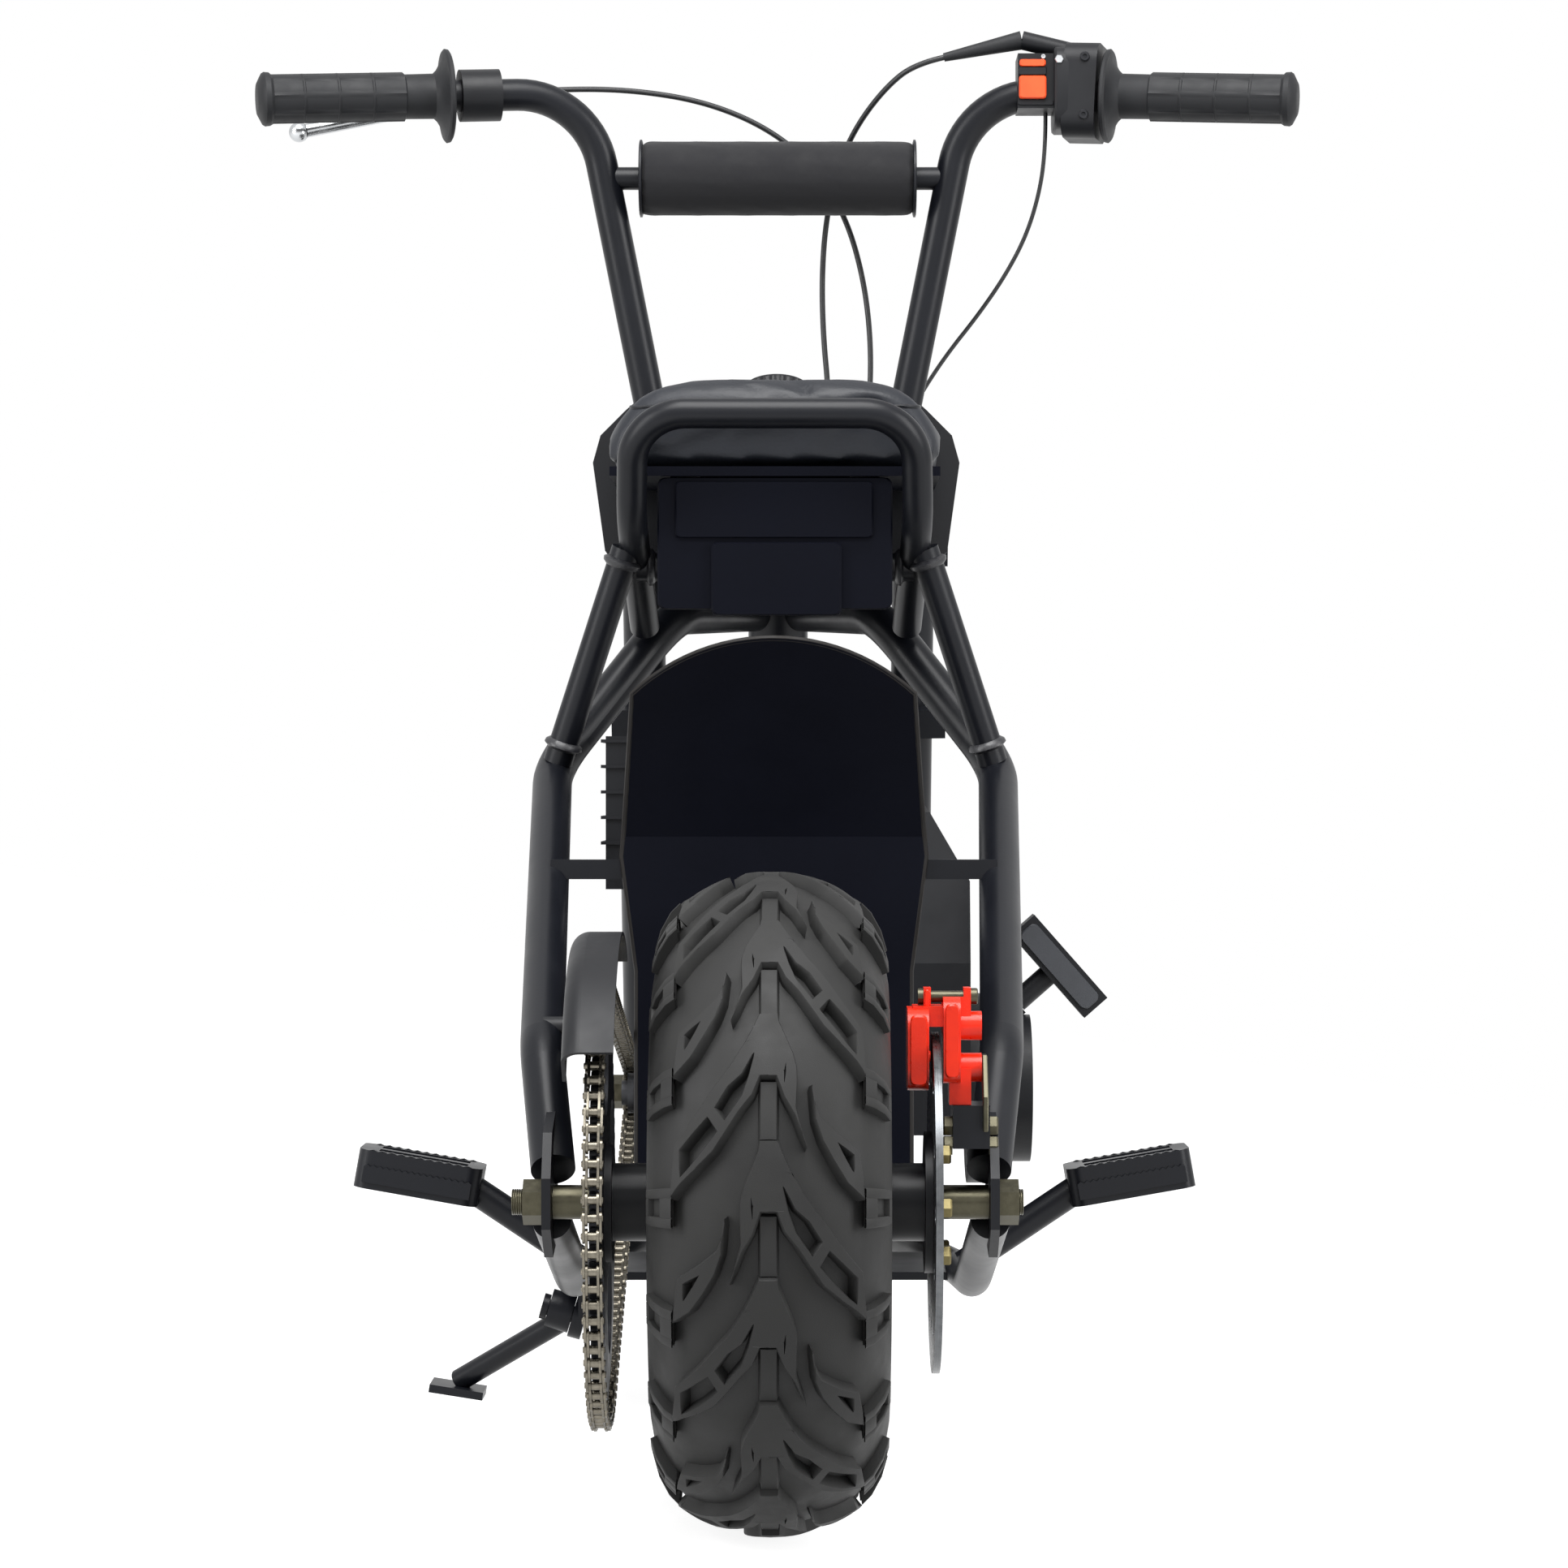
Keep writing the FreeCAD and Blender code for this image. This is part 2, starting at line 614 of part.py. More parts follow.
# Rear splash guard: a curved sheet ahead of the wheel, with a strap to each main tube
def rear_fender():
    sheet_body = new_body("rear_fender_sheet")
    section = [("250", "150"), ("250", "382"), ("170", "512", "420", 1), ("166", "511"),
               ("246", "382", "416", -1), ("246", "150")]
    pad(sheet_body, outline(sheet_body, "YZ_Plane", section, "-97"), "194")
    face = new_body("rear_fender_face")
    border = [(-83, 150), (83, 150), (83, 300), (92, 370), (84, 468), (-84, 468, 126, 1),
              (-92, 370), (-83, 300)]
    pad(face, outline(face, "XZ_Plane", border, "-300"), "200")
    shape = doc.addObject("Part::Common", "rear_fender_common")
    shape.Base = sheet_body
    shape.Tool = face
    return keep(shape, "rear_fender")


def fender_straps():
    straps = []
    for mark, side in (("left", -1), ("right", 1)):
        low = 74 if side > 0 else -136
        strap = box("strap_" + mark, "62", "4", "12",
                    Placement(Vector(low, 250.3, 356), Rotation()))
        tool = side_blank("strap_main", MAIN_POINTS, MAIN_BENDS, "main_tube / 2", mark)
        straps.append(cut("strap_cope_" + mark, strap, tool))
    return keep(gather("fender_straps_pair", straps), "fender_straps")


# Chain: a flat loop round both sprockets
def drive_line():
    big, small = pitch_radius("rear_teeth"), pitch_radius("front_teeth")
    along = (DRIVE - REAR_AXLE).normalize()
    up = Vector(0, -along.z, along.y)
    tilt = math.acos((big - small) / DRIVE_REACH)
    over = along * math.cos(tilt) + up * math.sin(tilt)
    under = along * math.cos(tilt) - up * math.sin(tilt)
    return along, over, under, tilt


def drive_loop(offset):
    big = pitch_radius("rear_teeth") + offset
    small = pitch_radius("front_teeth") + offset
    along, over, under, tilt = drive_line()
    rear, drive = REAR_AXLE, DRIVE
    return Part.Wire([
        Part.LineSegment(rear + over * big, drive + over * small).toShape(),
        Part.Arc(drive + over * small, drive + along * small, drive + under * small).toShape(),
        Part.LineSegment(drive + under * small, rear + under * big).toShape(),
        Part.Arc(rear + under * big, rear - along * big, rear + over * big).toShape()])


# Where the chain is after so many pitches from the top of the rear sprocket, and its direction
def on_chain(pitches):
    big, small = pitch_radius("rear_teeth"), pitch_radius("front_teeth")
    along, over, under, tilt = drive_line()
    across = Vector(1, 0, 0)
    straight = DRIVE_REACH * math.sin(tilt) / size("pitch")
    round_front = size("front_teeth") * tilt / math.pi
    ahead = ((DRIVE + over * small) - (REAR_AXLE + over * big)).normalize()
    if pitches < straight:
        return REAR_AXLE + over * big + ahead * (pitches * size("pitch")), ahead
    pitches -= straight
    if pitches < round_front:
        turn = Rotation(across, -360 / size("front_teeth") * pitches)
        return DRIVE + turn.multVec(over) * small, turn.multVec(ahead)
    pitches -= round_front
    back = ((REAR_AXLE + under * big) - (DRIVE + under * small)).normalize()
    if pitches < straight:
        return DRIVE + under * small + back * (pitches * size("pitch")), back
    pitches -= straight
    turn = Rotation(across, -360 / size("rear_teeth") * pitches)
    return REAR_AXLE + turn.multVec(under) * big, turn.multVec(back)


def band(inner, outer, width):
    ring = Part.Face(drive_loop(outer)).cut(Part.Face(drive_loop(inner)))
    solid = ring.extrude(Vector(width, 0, 0))
    solid.translate(Vector(-width / 2, 0, 0))
    return solid


def chain():
    centre = -size("rear_hub_left") - size("sprocket_thick") / 2
    high, roller = size("chain_height") / 2, size("roller_radius")
    inside = size("chain_inside")
    loop = band(-high, high, size("chain_width"))
    windows = [band(roller, high + 1, inside), band(-high - 1, -roller, inside)]
    gap = size("pitch") - 2 * roller
    for link in range(int(size("chain_links"))):
        point, ahead = on_chain(link + 0.5)
        lift = Vector(1, 0, 0).cross(ahead)
        window = Part.makeBox(inside, gap, 4 * high, Vector(-inside / 2, -gap / 2, -2 * high))
        window.Placement = Placement(point, Rotation(Vector(1, 0, 0), ahead, lift, "XYZ"))
        windows.append(window)
    links = doc.addObject("Part::Feature", "chain_loop")
    links.Shape = loop.cut(windows)
    return keep(links, "chain", Placement(Vector(centre, 0, 0), Rotation()))


def chain_guard():
    body = new_body("chain_guard_arc")
    inner = pitch_radius("rear_teeth") + 26
    sketch = outline(body, "XY_Plane", [
        (-110, inner - 26), (-108, inner - 26), (-108, inner - 8), (-100, inner, 8, -1),
        (-82, inner), (-82, inner + 2), (-100, inner + 2), (-110, inner - 8, 10, 1)])
    feature = spin(body, sketch)
    feature.Angle = 81
    place = Placement(REAR_AXLE, Rotation(Vector(1, 0, 0), 62))
    tab = new_body("guard_tab")
    pad(tab, outline(tab, "YZ_Plane", [(46, 300), (60, 312), (96, 284), (80, 264)], "-110"), "2")
    stub = along_x("guard_stub", "6", -131, -109, 86, 275)
    doc.recompute()
    guard = doc.addObject("Part::Feature", "guard_sheet")
    shape = body.Shape.copy()
    shape.Placement = place
    guard.Shape = shape
    tool = side_blank("guard_main", MAIN_POINTS, MAIN_BENDS, "main_tube / 2", "left")
    joined = fuse("chain_guard_all", [guard, tab, cut("guard_stub_cope", stub, tool)])
    return keep(joined, "chain_guard")


# Engine: closed block, finned barrel, covers, starter, filter and muffler
def rounded(low, high, bottom, top, corner):
    return [(high - corner, bottom), (high, bottom + corner, corner, 1), (high, top - corner),
            (high - corner, top, corner, 1), (low + corner, top), (low, top - corner, corner, 1),
            (low, bottom + corner), (low + corner, bottom, corner, 1)]


def engine():
    case = new_body("engine_case")
    pad(case, outline(case, "YZ_Plane", rounded(390, 520, 109, 239, 22), "-68"), "130")
    cover = along_x("engine_gear_cover", "31", -82, -60, DRIVE.y, DRIVE.z)
    boss = along_x("engine_gear_boss", "16", -86, -80, DRIVE.y, DRIVE.z)
    shaft = along_x("engine_shaft", "8", -99, -80, DRIVE.y, DRIVE.z)
    gear = along_x("engine_sprocket", "12.2", -95, -91, DRIVE.y, DRIVE.z)
    flange = box("engine_flange", "92", "92", "6", Placement(Vector(-46, 404, 237), Rotation()))
    return keep(fuse("engine_all", [case, cover, boss, shaft, gear, flange]), "engine_block")


def cylinder_barrel():
    core = cylinder("barrel_core", "barrel_radius", "111",
                    Placement(Vector(0, 450, 243.3), Rotation()))
    fins = []
    for step in range(9):
        fin = new_body("barrel_fin_%d" % step)
        pad(fin, outline(fin, "XY_Plane", rounded(-50, 50, 402, 498, 16),
                         "fin_foot + fin_step * %d" % step), "fin_thick")
        fins.append(fin)
    head = new_body("barrel_head")
    pad(head, outline(head, "XY_Plane", rounded(-40, 40, 412, 488, 12), "353"), "9")
    plug = rod("spark_plug", "7", Vector(0, 470, 360), Vector(0, 490, 388))
    return keep(fuse("barrel_all", [core, head, plug] + fins), "engine_barrel")


def shroud():
    body = new_body("shroud_side")
    sketch = outline(body, "YZ_Plane", [
        (375, 190), (520, 190), (530, 260), (500, 380), (440, 404), (392, 396), (368, 300)], "62.3")
    pad(body, sketch, "62")
    face = new_body("shroud_face")
    border = [(60, 180), (118, 180), (124.3, 196), (124.3, 352), (92, 408), (60, 408)]
    pad(face, outline(face, "XZ_Plane", border, "-540"), "180")
    shape = doc.addObject("Part::Common", "shroud_common")
    shape.Base = body
    shape.Tool = face
    return keep(shape, "engine_shroud")


PULL_AXIS = Vector(0.75, 0, 0.66)
PULL_SEAT = Vector(152, 455, 266)


def recoil_starter():
    centre = Vector(0, 455, 215)
    drum = along_x("recoil_drum", "62", 124.6, 150, centre.y, centre.z)
    step = along_x("recoil_step", "48", 150, 166, centre.y, centre.z)
    guide = rod("recoil_guide", "9", Vector(138, 455, 254), PULL_SEAT + PULL_AXIS * 7.7)
    slots = []
    for index in range(10):
        place = Placement(centre, Rotation(Vector(1, 0, 0), 36 * index + 9))
        slots.append(box("recoil_slot_%d" % index, "5", "5", "22",
                         place.multiply(Placement(Vector(162, -2.5, 18), Rotation()))))
    drum_cut = cut("recoil_vented", fuse("recoil_drum_step", [drum, step]),
                   gather("recoil_slots", slots))
    return keep(fuse("recoil_all", [drum_cut, guide]), "recoil_starter")


def pull_handle():
    stem_start = PULL_SEAT + PULL_AXIS * 8
    stem_end = PULL_SEAT + PULL_AXIS * 34
    stem = rod("pull_stem", "7", stem_start, stem_end)
    grip = box("pull_grip", "72", "26", "20")
    bar = Vector(0.66, 0, -0.75)
    grip.Placement = Placement(stem_end - bar * 36 - Vector(0, 13, 0),
                               Rotation(bar, Vector(0, 1, 0), PULL_AXIS, "XYZ"))
    return keep(fuse("pull_all", [stem, grip]), "pull_handle")


def air_filter():
    body = box("filter_body", "46", "70", "96", Placement(Vector(-106, 330, 348), Rotation()))
    ribs = [box("filter_rib_%d" % step, "49", "74", "2",
                Placement(Vector(-109, 328, 360 + 16 * step), Rotation())) for step in range(6)]
    return keep(fuse("filter_all", [body] + ribs), "air_filter")


def carburettor():
    throat = along_x("carb_throat", "15", -59.7, -24, 378, 372)
    drop = rod("carb_drop", "15", Vector(-38, 378, 372), Vector(-38, 378, 300))
    body = box("carb_body", "50", "46", "40", Placement(Vector(-30, 355.7, 292), Rotation()))
    bowl = cylinder("carb_bowl", "17", "22", Placement(Vector(-4, 379, 272), Rotation()))
    return keep(fuse("carb_all", [throat, drop, body, bowl]), "carburettor")


def muffler():
    can = rod("muffler_can", "30", Vector(40, 560, 170), Vector(52, 560, 330))
    pipe = bent_tube("muffler_pipe", [Vector(0, 498.3, 300), Vector(0, 540, 300), Vector(20, 560, 250)],
                     [12], "11")
    return keep(fuse("muffler_all", [can, pipe]), "muffler")


# Tank, seat and seat pan
def tank():
    body = new_body("tank_shell")
    section = [(-105, 556), (105, 556), (113, 568), (121, 626), (116, 644), (102, 658),
               (70, 676, "60", 1), (-70, 676), (-102, 658, "60", 1), (-116, 644), (-121, 626),
               (-113, 568)]
    pad(body, outline(body, "XZ_Plane", section, "-600"), "124")
    trim = new_body("tank_trim")
    side = [(470, 540), (604, 540), (604, 600), (560, 652), (500, 680), (470, 684)]
    pad(trim, outline(trim, "YZ_Plane", side, "-130"), "260")
    shape = doc.addObject("Part::Common", "tank_common")
    shape.Base = body
    shape.Tool = trim
    return keep(shape, "fuel_tank")


def tank_saddle():
    plate = box("saddle_plate", "110", "60", "20", Placement(Vector(-55, 505, 535.7), Rotation()))
    tool = fuse("saddle_tool", [
        side_blank("saddle_main", MAIN_POINTS, MAIN_BENDS, "main_tube / 2", mark)
        for mark in ("left", "right")])
    return keep(cut("saddle_cope", plate, tool), "tank_saddle")


def tank_cap():
    place = Placement(Vector(0, 528, 669), Rotation(Vector(1, 0, 0), -22))
    return keep(cylinder("tank_cap_disc", "24", "14", place), "tank_cap")


def seat():
    body = new_body("seat_pad")
    section = [(-112, 614), (112, 614), (107, 629), (91, 651), (70, 669, "40", 1), (-70, 669),
               (-91, 651, "40", 1), (-107, 629)]
    pad(body, outline(body, "XZ_Plane", section, "-474"), "142")
    return keep(body, "seat")


def seat_pan():
    pan = box("seat_pan_box", "208", "134", "6", Placement(Vector(-104, 337, 607.7), Rotation()))
    post = box("seat_pan_post", "94", "52", "48", Placement(Vector(-47, 345, 561.3), Rotation()))
    walls = [box("seat_pan_wall_%d" % (low + 90), "4", "52", "48",
                 Placement(Vector(low, 345, 561.3), Rotation())) for low in (-66, 62)]
    return keep(fuse("seat_pan_all", [pan, post] + walls), "seat_pan")


def seat_bridge():
    bar = rod("seat_bridge_bar", "bridge_tube / 2", Vector(-88, 372, 552), Vector(88, 372, 552))
    loop = LOOP_POINTS + [mirror_x(point) for point in reversed(LOOP_POINTS)]
    tool = bent_tube("bridge_loop", loop, [70, 34, 34, 70], "stay_tube / 2")
    return keep(cut("seat_bridge_cope", bar, tool), "seat_bridge")


# Foot pegs on arms from the cradle tubes
def foot_pegs():
    pegs = []
    for mark, side in (("left", -1), ("right", 1)):
        tilt = Rotation(Vector(0, 1, 0), -size("peg_tilt") * side)
        arm = rod("peg_arm_" + mark, "9", Vector(118 * side, 335, 112), Vector(190 * side, 335, 160))
        cage = new_body("peg_pad_" + mark)
        slots = [[(12, low), (68, low), (68, low + 13), (12, low + 13)] for low in (8, 29)]
        border = rounded(0, size("peg_length"), 0, size("peg_width"), 9)
        pad(cage, outline(cage, "XY_Plane", border, holes=slots), "peg_height")
        corner = Vector(186, 310, 150) if side > 0 else Vector(-263, 310, 163.5)
        cage.Placement = Placement(corner, tilt)
        tool = side_blank("peg_cradle", CRADLE_POINTS, CRADLE_BENDS, "cradle_tube / 2", mark)
        pegs.append(cut("peg_cope_" + mark, fuse("peg_" + mark, [arm, cage]), tool))
    return keep(gather("foot_pegs_pair", pegs), "foot_pegs")


# Brake caliper over the top of the disc, on a bracket from the right dropout
def caliper():
    left = new_body("caliper_left")
    pad(left, outline(left, "YZ_Plane", rounded(-30, 18, 246, 291, 12), "75"),
        "rear_hub_right - pad_clear - 75")
    right = new_body("caliper_right")
    pad(right, outline(right, "YZ_Plane", rounded(-28, 12, 250, 297, 10),
                       "rear_hub_right + disc_thick + pad_clear"),
        "104 - rear_hub_right - disc_thick - pad_clear")
    top = REAR_AXLE.z + size("disc_radius") + 4
    bridge = box("caliper_bridge", "24", "30", str(292 - top), Placement(Vector(78, -21, top), Rotation()))
    ears = [box("caliper_ear_%d" % low, "4", "14", "14", Placement(Vector(low, -14, 288), Rotation()))
            for low in (84, 106)]
    ears.append(box("caliper_arm", "8", "14", "14", Placement(Vector(102, -14, 283), Rotation())))
    pin = along_x("caliper_pin", "3", 82, 113, -7, 297)
    bosses = [along_x("caliper_boss_%d" % up, "8", 103, 116, -8, up) for up in (281, 258)]
    tab = box("caliper_tab", "12", "24", "20", Placement(Vector(98, -18, 238), Rotation()))
    return keep(fuse("caliper_all", [left, right, bridge, pin, tab] + ears + bosses), "brake_caliper")


def caliper_bracket():
    plate = box("bracket_plate", "20.2", "36", "23.7", Placement(Vector(100, -20, 214), Rotation()))
    tool = side_blank("bracket_main", MAIN_POINTS, MAIN_BENDS, "main_tube / 2", "right")
    return keep(cut("bracket_cope", plate, tool), "caliper_bracket")


# Fork: lower crown with its stem, upper crown, two legs and their axle
def crown_plate(name, low):
    body = new_body(name)
    reach = "stanchion_radius + 9"
    sketch = outline(body, "XY_Plane", [
        ("-14", "-head_radius"), ("14", "-head_radius"), ("23", "-4"), ("52", "fork_offset - 22"),
        ("fork_half + %s" % reach, "fork_offset - 20"), ("fork_half + %s" % reach, "fork_offset + 20"),
        ("fork_half - 20", "fork_offset + 24"), ("20 - fork_half", "fork_offset + 24"),
        ("-fork_half - (%s)" % reach, "fork_offset + 20"),
        ("-fork_half - (%s)" % reach, "fork_offset - 20"), ("-52", "fork_offset - 22"),
        ("-23", "-4")], low)
    pad(body, sketch, "crown_thick")
    return body


def leg_holes(name, low):
    holes = []
    for mark, side in (("left", -1), ("right", 1)):
        place = Placement(Vector(side * size("fork_half"), size("fork_offset"), low), Rotation())
        holes.append(cylinder("%s_%s" % (name, mark), "stanchion_radius + running_gap", "60", place))
    return holes


def lower_crown():
    plate = crown_plate("lower_crown_plate", "-crown_thick - face_gap")
    stem = cylinder("steering_stem", "stem_radius", "head_length + crown_thick + 26",
                    Placement(Vector(0, 0, -size("crown_thick")), Rotation()))
    whole = fuse("lower_crown_fuse", [plate, stem])
    drilled = cut("lower_crown_cut", whole, fuse("lower_crown_holes", leg_holes("low_hole", -40)))
    return keep(drilled, "lower_crown", STEERING)


def upper_crown():
    plate = crown_plate("upper_crown_plate", "head_length + face_gap")
    risers = []
    for mark, side in (("left", -1), ("right", 1)):
        corner = Vector(side * size("riser_place") - size("riser_width") / 2,
                        size("bar_forward") - 17, size("head_length") + size("crown_thick"))
        risers.append(box("riser_" + mark, "riser_width", "34", "72", Placement(corner, Rotation())))
    whole = fuse("upper_crown_fuse", [plate] + risers)
    holes = leg_holes("high_hole", size("head_length") - 10)
    holes.append(cylinder("stem_hole", "stem_radius + running_gap", "60",
                          Placement(Vector(0, 0, size("head_length") - 10), Rotation())))
    grip_hole = toward(Vector(1, 0, 0), Vector(-60, size("bar_forward"), size("bar_up")))
    holes.append(cylinder("bar_hole", "bar_tube / 2 + running_gap", "120", grip_hole))
    drilled = cut("upper_crown_cut", whole, fuse("upper_crown_holes", holes))
    return keep(drilled, "upper_crown", STEERING)


def fork_legs():
    legs = []
    axle_drop = size("fork_length")
    for mark, side in (("left", -1), ("right", 1)):
        foot = Vector(side * size("fork_half"), size("fork_offset"), -axle_drop - 22)
        slider = cylinder("slider_" + mark, "slider_radius", "slider_length", Placement(foot, Rotation()))
        top = size("head_length") + size("crown_thick") + 6
        rise = Vector(foot.x, foot.y, foot.z + size("slider_length"))
        tube = cylinder("stanchion_" + mark, "stanchion_radius", str(top - rise.z),
                        Placement(rise, Rotation()))
        hole = toward(Vector(1, 0, 0), Vector(foot.x - 30, foot.y, -axle_drop))
        bore = cylinder("leg_axle_hole_" + mark, "axle_radius + running_gap", "60", hole)
        legs.append(cut("leg_cut_" + mark, fuse("leg_" + mark, [slider, tube]), bore))
    return keep(gather("fork_legs_pair", legs), "fork_legs", STEERING)


# Front mudguard: a curved sheet over the tyre, hung on two posts from the lower crown
def guard_sheet(name, half, inner, outer):
    body = new_body(name)
    sketch = outline(body, "XY_Plane", [
        ("-" + half, "%s - 8" % inner), ("8 - " + half, inner), (half + " - 8", inner),
        (half, "%s - 8" % inner), (half, "%s - 8" % outer), (half + " - 7", outer),
        ("7 - " + half, outer), ("-" + half, "%s - 8" % outer)])
    feature = spin(body, sketch)
    feature.Angle = 85
    return body


def front_fender():
    body = guard_sheet("front_fender_arc", "guard_half", "tyre_radius + guard_gap - guard_thick",
                       "tyre_radius + guard_gap")
    doc.recompute()
    sheet_part = doc.addObject("Part::Feature", "front_fender_sheet")
    shape = body.Shape.copy()
    shape.Placement = Placement(FRONT_AXLE, Rotation(Vector(1, 0, 0), 65))
    sheet_part.Shape = shape
    posts = []
    guard = size("tyre_radius") + size("guard_gap")
    wheel = along_x("fender_inside", str(guard - 1), -80, 80, FRONT_AXLE.y, FRONT_AXLE.z)
    for side in (-1, 1):
        top = on_axis(side * 40, size("fork_offset"), -size("crown_thick") - size("face_gap"))
        foot = top - AXIS_UP * (size("fork_length") - guard + 9)
        posts.append(rod("fender_post_%d" % (side + 1), "5", foot, top))
    hung = cut("fender_posts_cut", fuse("fender_posts", posts), wheel)
    return keep(fuse("front_fender_all", [sheet_part, hung]), "front_fender")


# Handlebar with its crossbar, pad and grips
BAR_MIDDLE = on_axis(0, size("bar_forward"), size("bar_up"))
BAR_POINTS = [front(355, 600, 885), front(133, 652, 897), Vector(82, BAR_MIDDLE.y, BAR_MIDDLE.z)]
BAR_BENDS = [58, 38, 38, 58]
CROSS_UP = front(0, 668, 838).z


def handlebar():
    left = [mirror_x(point) for point in reversed(BAR_POINTS)]
    return keep(bent_tube("handlebar_tube", BAR_POINTS + left, BAR_BENDS, "bar_tube / 2"), "handlebar")


def bar_blank(name):
    left = [mirror_x(point) for point in reversed(BAR_POINTS)]
    return bent_tube(name, BAR_POINTS + left, BAR_BENDS, "bar_tube / 2")


def crossbar_place():
    share = (CROSS_UP - BAR_MIDDLE.z) / (BAR_POINTS[1].z - BAR_MIDDLE.z)
    return BAR_POINTS[2] + (BAR_POINTS[1] - BAR_POINTS[2]) * share


def crossbar():
    end = crossbar_place()
    bar = rod("crossbar_rod", "crossbar_radius", mirror_x(end), end)
    return keep(cut("crossbar_cope", bar, bar_blank("crossbar_bar")), "crossbar")


def bar_pad():
    end = crossbar_place()
    low = Vector(-size("pad_half"), end.y, end.z)
    high = Vector(size("pad_half"), end.y, end.z)
    outer = rod("bar_pad_outer", "pad_radius", low, high)
    inner = rod("bar_pad_inner", "crossbar_radius + face_gap", low, high)
    return keep(cut("bar_pad_cut", outer, inner), "bar_pad")


def grips():
    both = []
    run = (BAR_POINTS[0] - BAR_POINTS[1]).normalize()
    for mark, side in (("left", -1), ("right", 1)):
        tip = BAR_POINTS[0] + run * 3
        inner_end = tip - run * size("grip_length")
        flange_end = inner_end + run * size("grip_flange_thick")
        ends = [mirror_x(point) if side < 0 else point for point in (inner_end, flange_end, tip)]
        sleeve = rod("grip_sleeve_" + mark, "grip_radius", ends[0], ends[2])
        flange = rod("grip_flange_" + mark, "grip_flange", ends[0], ends[1])
        whole = fuse("grip_fuse_" + mark, [sleeve, flange])
        both.append(cut("grip_cut_" + mark, whole, bar_blank("grip_bar_" + mark)))
    return keep(gather("grips_pair", both), "grips")


# Controls: brake perch and lever on the left, throttle housing and stop switch on the right
def bar_point(across):
    share = (abs(across) - BAR_POINTS[1].x) / (BAR_POINTS[0].x - BAR_POINTS[1].x)
    point = BAR_POINTS[1] + (BAR_POINTS[0] - BAR_POINTS[1]) * share
    return mirror_x(point) if across < 0 else point


def ferrule(name, first, second):
    back = (first - second).normalize()
    return rod(name, "ferrule_radius", first + back * size("ferrule_length"), first)


LEVER_PIVOT = bar_point(-207) + Vector(0, 36, 0)


def left_perch():
    clamp = rod("perch_clamp", "18", bar_point(-221), bar_point(-194))
    ears = []
    for side in (-1, 1):
        low = LEVER_PIVOT + Vector(-11, -30, 5.3 if side > 0 else -9.3)
        ears.append(box("perch_ear_%d" % (side + 1), "22", "38", "4", Placement(low, Rotation())))
    screw = cylinder("perch_screw", "3", "18.6", Placement(LEVER_PIVOT - Vector(0, 0, 9.3), Rotation()))
    whole = fuse("perch_fuse", [clamp, ferrule("perch_ferrule", BRAKE_ROUTE[0], BRAKE_ROUTE[1])] + ears)
    open_bar = cut("perch_cut", whole, bar_blank("perch_bar"))
    return keep(fuse("perch_all", [open_bar, screw]), "left_perch")


def brake_lever():
    hub = cylinder("lever_hub", "9", "10", Placement(LEVER_PIVOT - Vector(0, 0, 5), Rotation()))
    points = [LEVER_PIVOT, LEVER_PIVOT + Vector(-34, 8, 0), front(-335, 652, 870)]
    arm = bent_tube("lever_arm", points, [40], "4.8")
    tip = doc.addObject("Part::Sphere", "lever_tip")
    tip.Radius = 7
    tip.Placement.Base = points[-1]
    hole = cylinder("lever_hole", "3 + running_gap", "40", Placement(LEVER_PIVOT - Vector(0, 0, 20),
                                                                    Rotation()))
    return keep(cut("lever_cut", fuse("lever_all", [hub, arm, tip]), hole), "brake_lever")


def throttle_housing():
    body = new_body("throttle_case")
    border = [(16, -31), (30, -17, 14, 1), (30, 21), (16, 35, 14, 1), (-10, 35),
              (-24, 21, 14, 1), (-24, -17), (-10, -31, 14, 1)]
    pad(body, outline(body, "YZ_Plane", border), "23")
    inner, outer = bar_point(202), bar_point(225)
    body.Placement = Placement(inner, Rotation(Vector(1, 0, 0), outer - inner))
    whole = fuse("throttle_fuse", [body, throttle_elbow("throttle_elbow")])
    return keep(cut("throttle_cut", whole, bar_blank("throttle_bar")), "throttle_housing")


def throttle_elbow(name):
    return rod(name, "6.5", front(212, 639, 922), BOOT_START)


def stop_switch():
    case = box("switch_case", "25", "36", "38", Placement(front(166.5, 620, 882), Rotation()))
    return keep(cut("switch_cut", case, bar_blank("switch_bar")), "stop_switch")


def cable_boot():
    boot = doc.addObject("Part::Cone", "boot_cone")
    boot.Radius1 = 6.5
    boot.Radius2 = 3
    boot.Height = (THROTTLE_ROUTE[0] - BOOT_START).Length
    boot.Placement = toward(THROTTLE_ROUTE[0] - BOOT_START, BOOT_START)
    return keep(cut("boot_cut", boot, throttle_elbow("boot_elbow")), "cable_boot")


# Cables: they hang from the controls in front of the pad and end in ferrules on the upper crown
CROWN_SOCKET = 148
BOOT_START = front(170, 638, 932)
BOOT_END = front(116, 644, 921)
BRAKE_ROUTE = [
    Vector(-182, 659, 899), Vector(-150, 668, 903), Vector(-100, 682, 904), Vector(-50, 692, 897),
    Vector(-6, 698, 879), Vector(28, 701, 851), Vector(49, 703, 815), Vector(61, 701, 772),
    Vector(66, 698, 727), Vector(65, 694, 684), on_axis(60, 50, CROWN_SOCKET + 32),
    on_axis(60, 50, CROWN_SOCKET)]
THROTTLE_ROUTE = [
    BOOT_END, BOOT_END + (BOOT_END - BOOT_START) * 0.38, Vector(75, 660, 902), Vector(55, 680, 878),
    Vector(42, 692, 850), Vector(34, 698, 815), Vector(31, 700, 775), Vector(32, 699, 732),
    Vector(36, 696, 690), on_axis(34, 50, CROWN_SOCKET + 32), on_axis(34, 50, CROWN_SOCKET)]
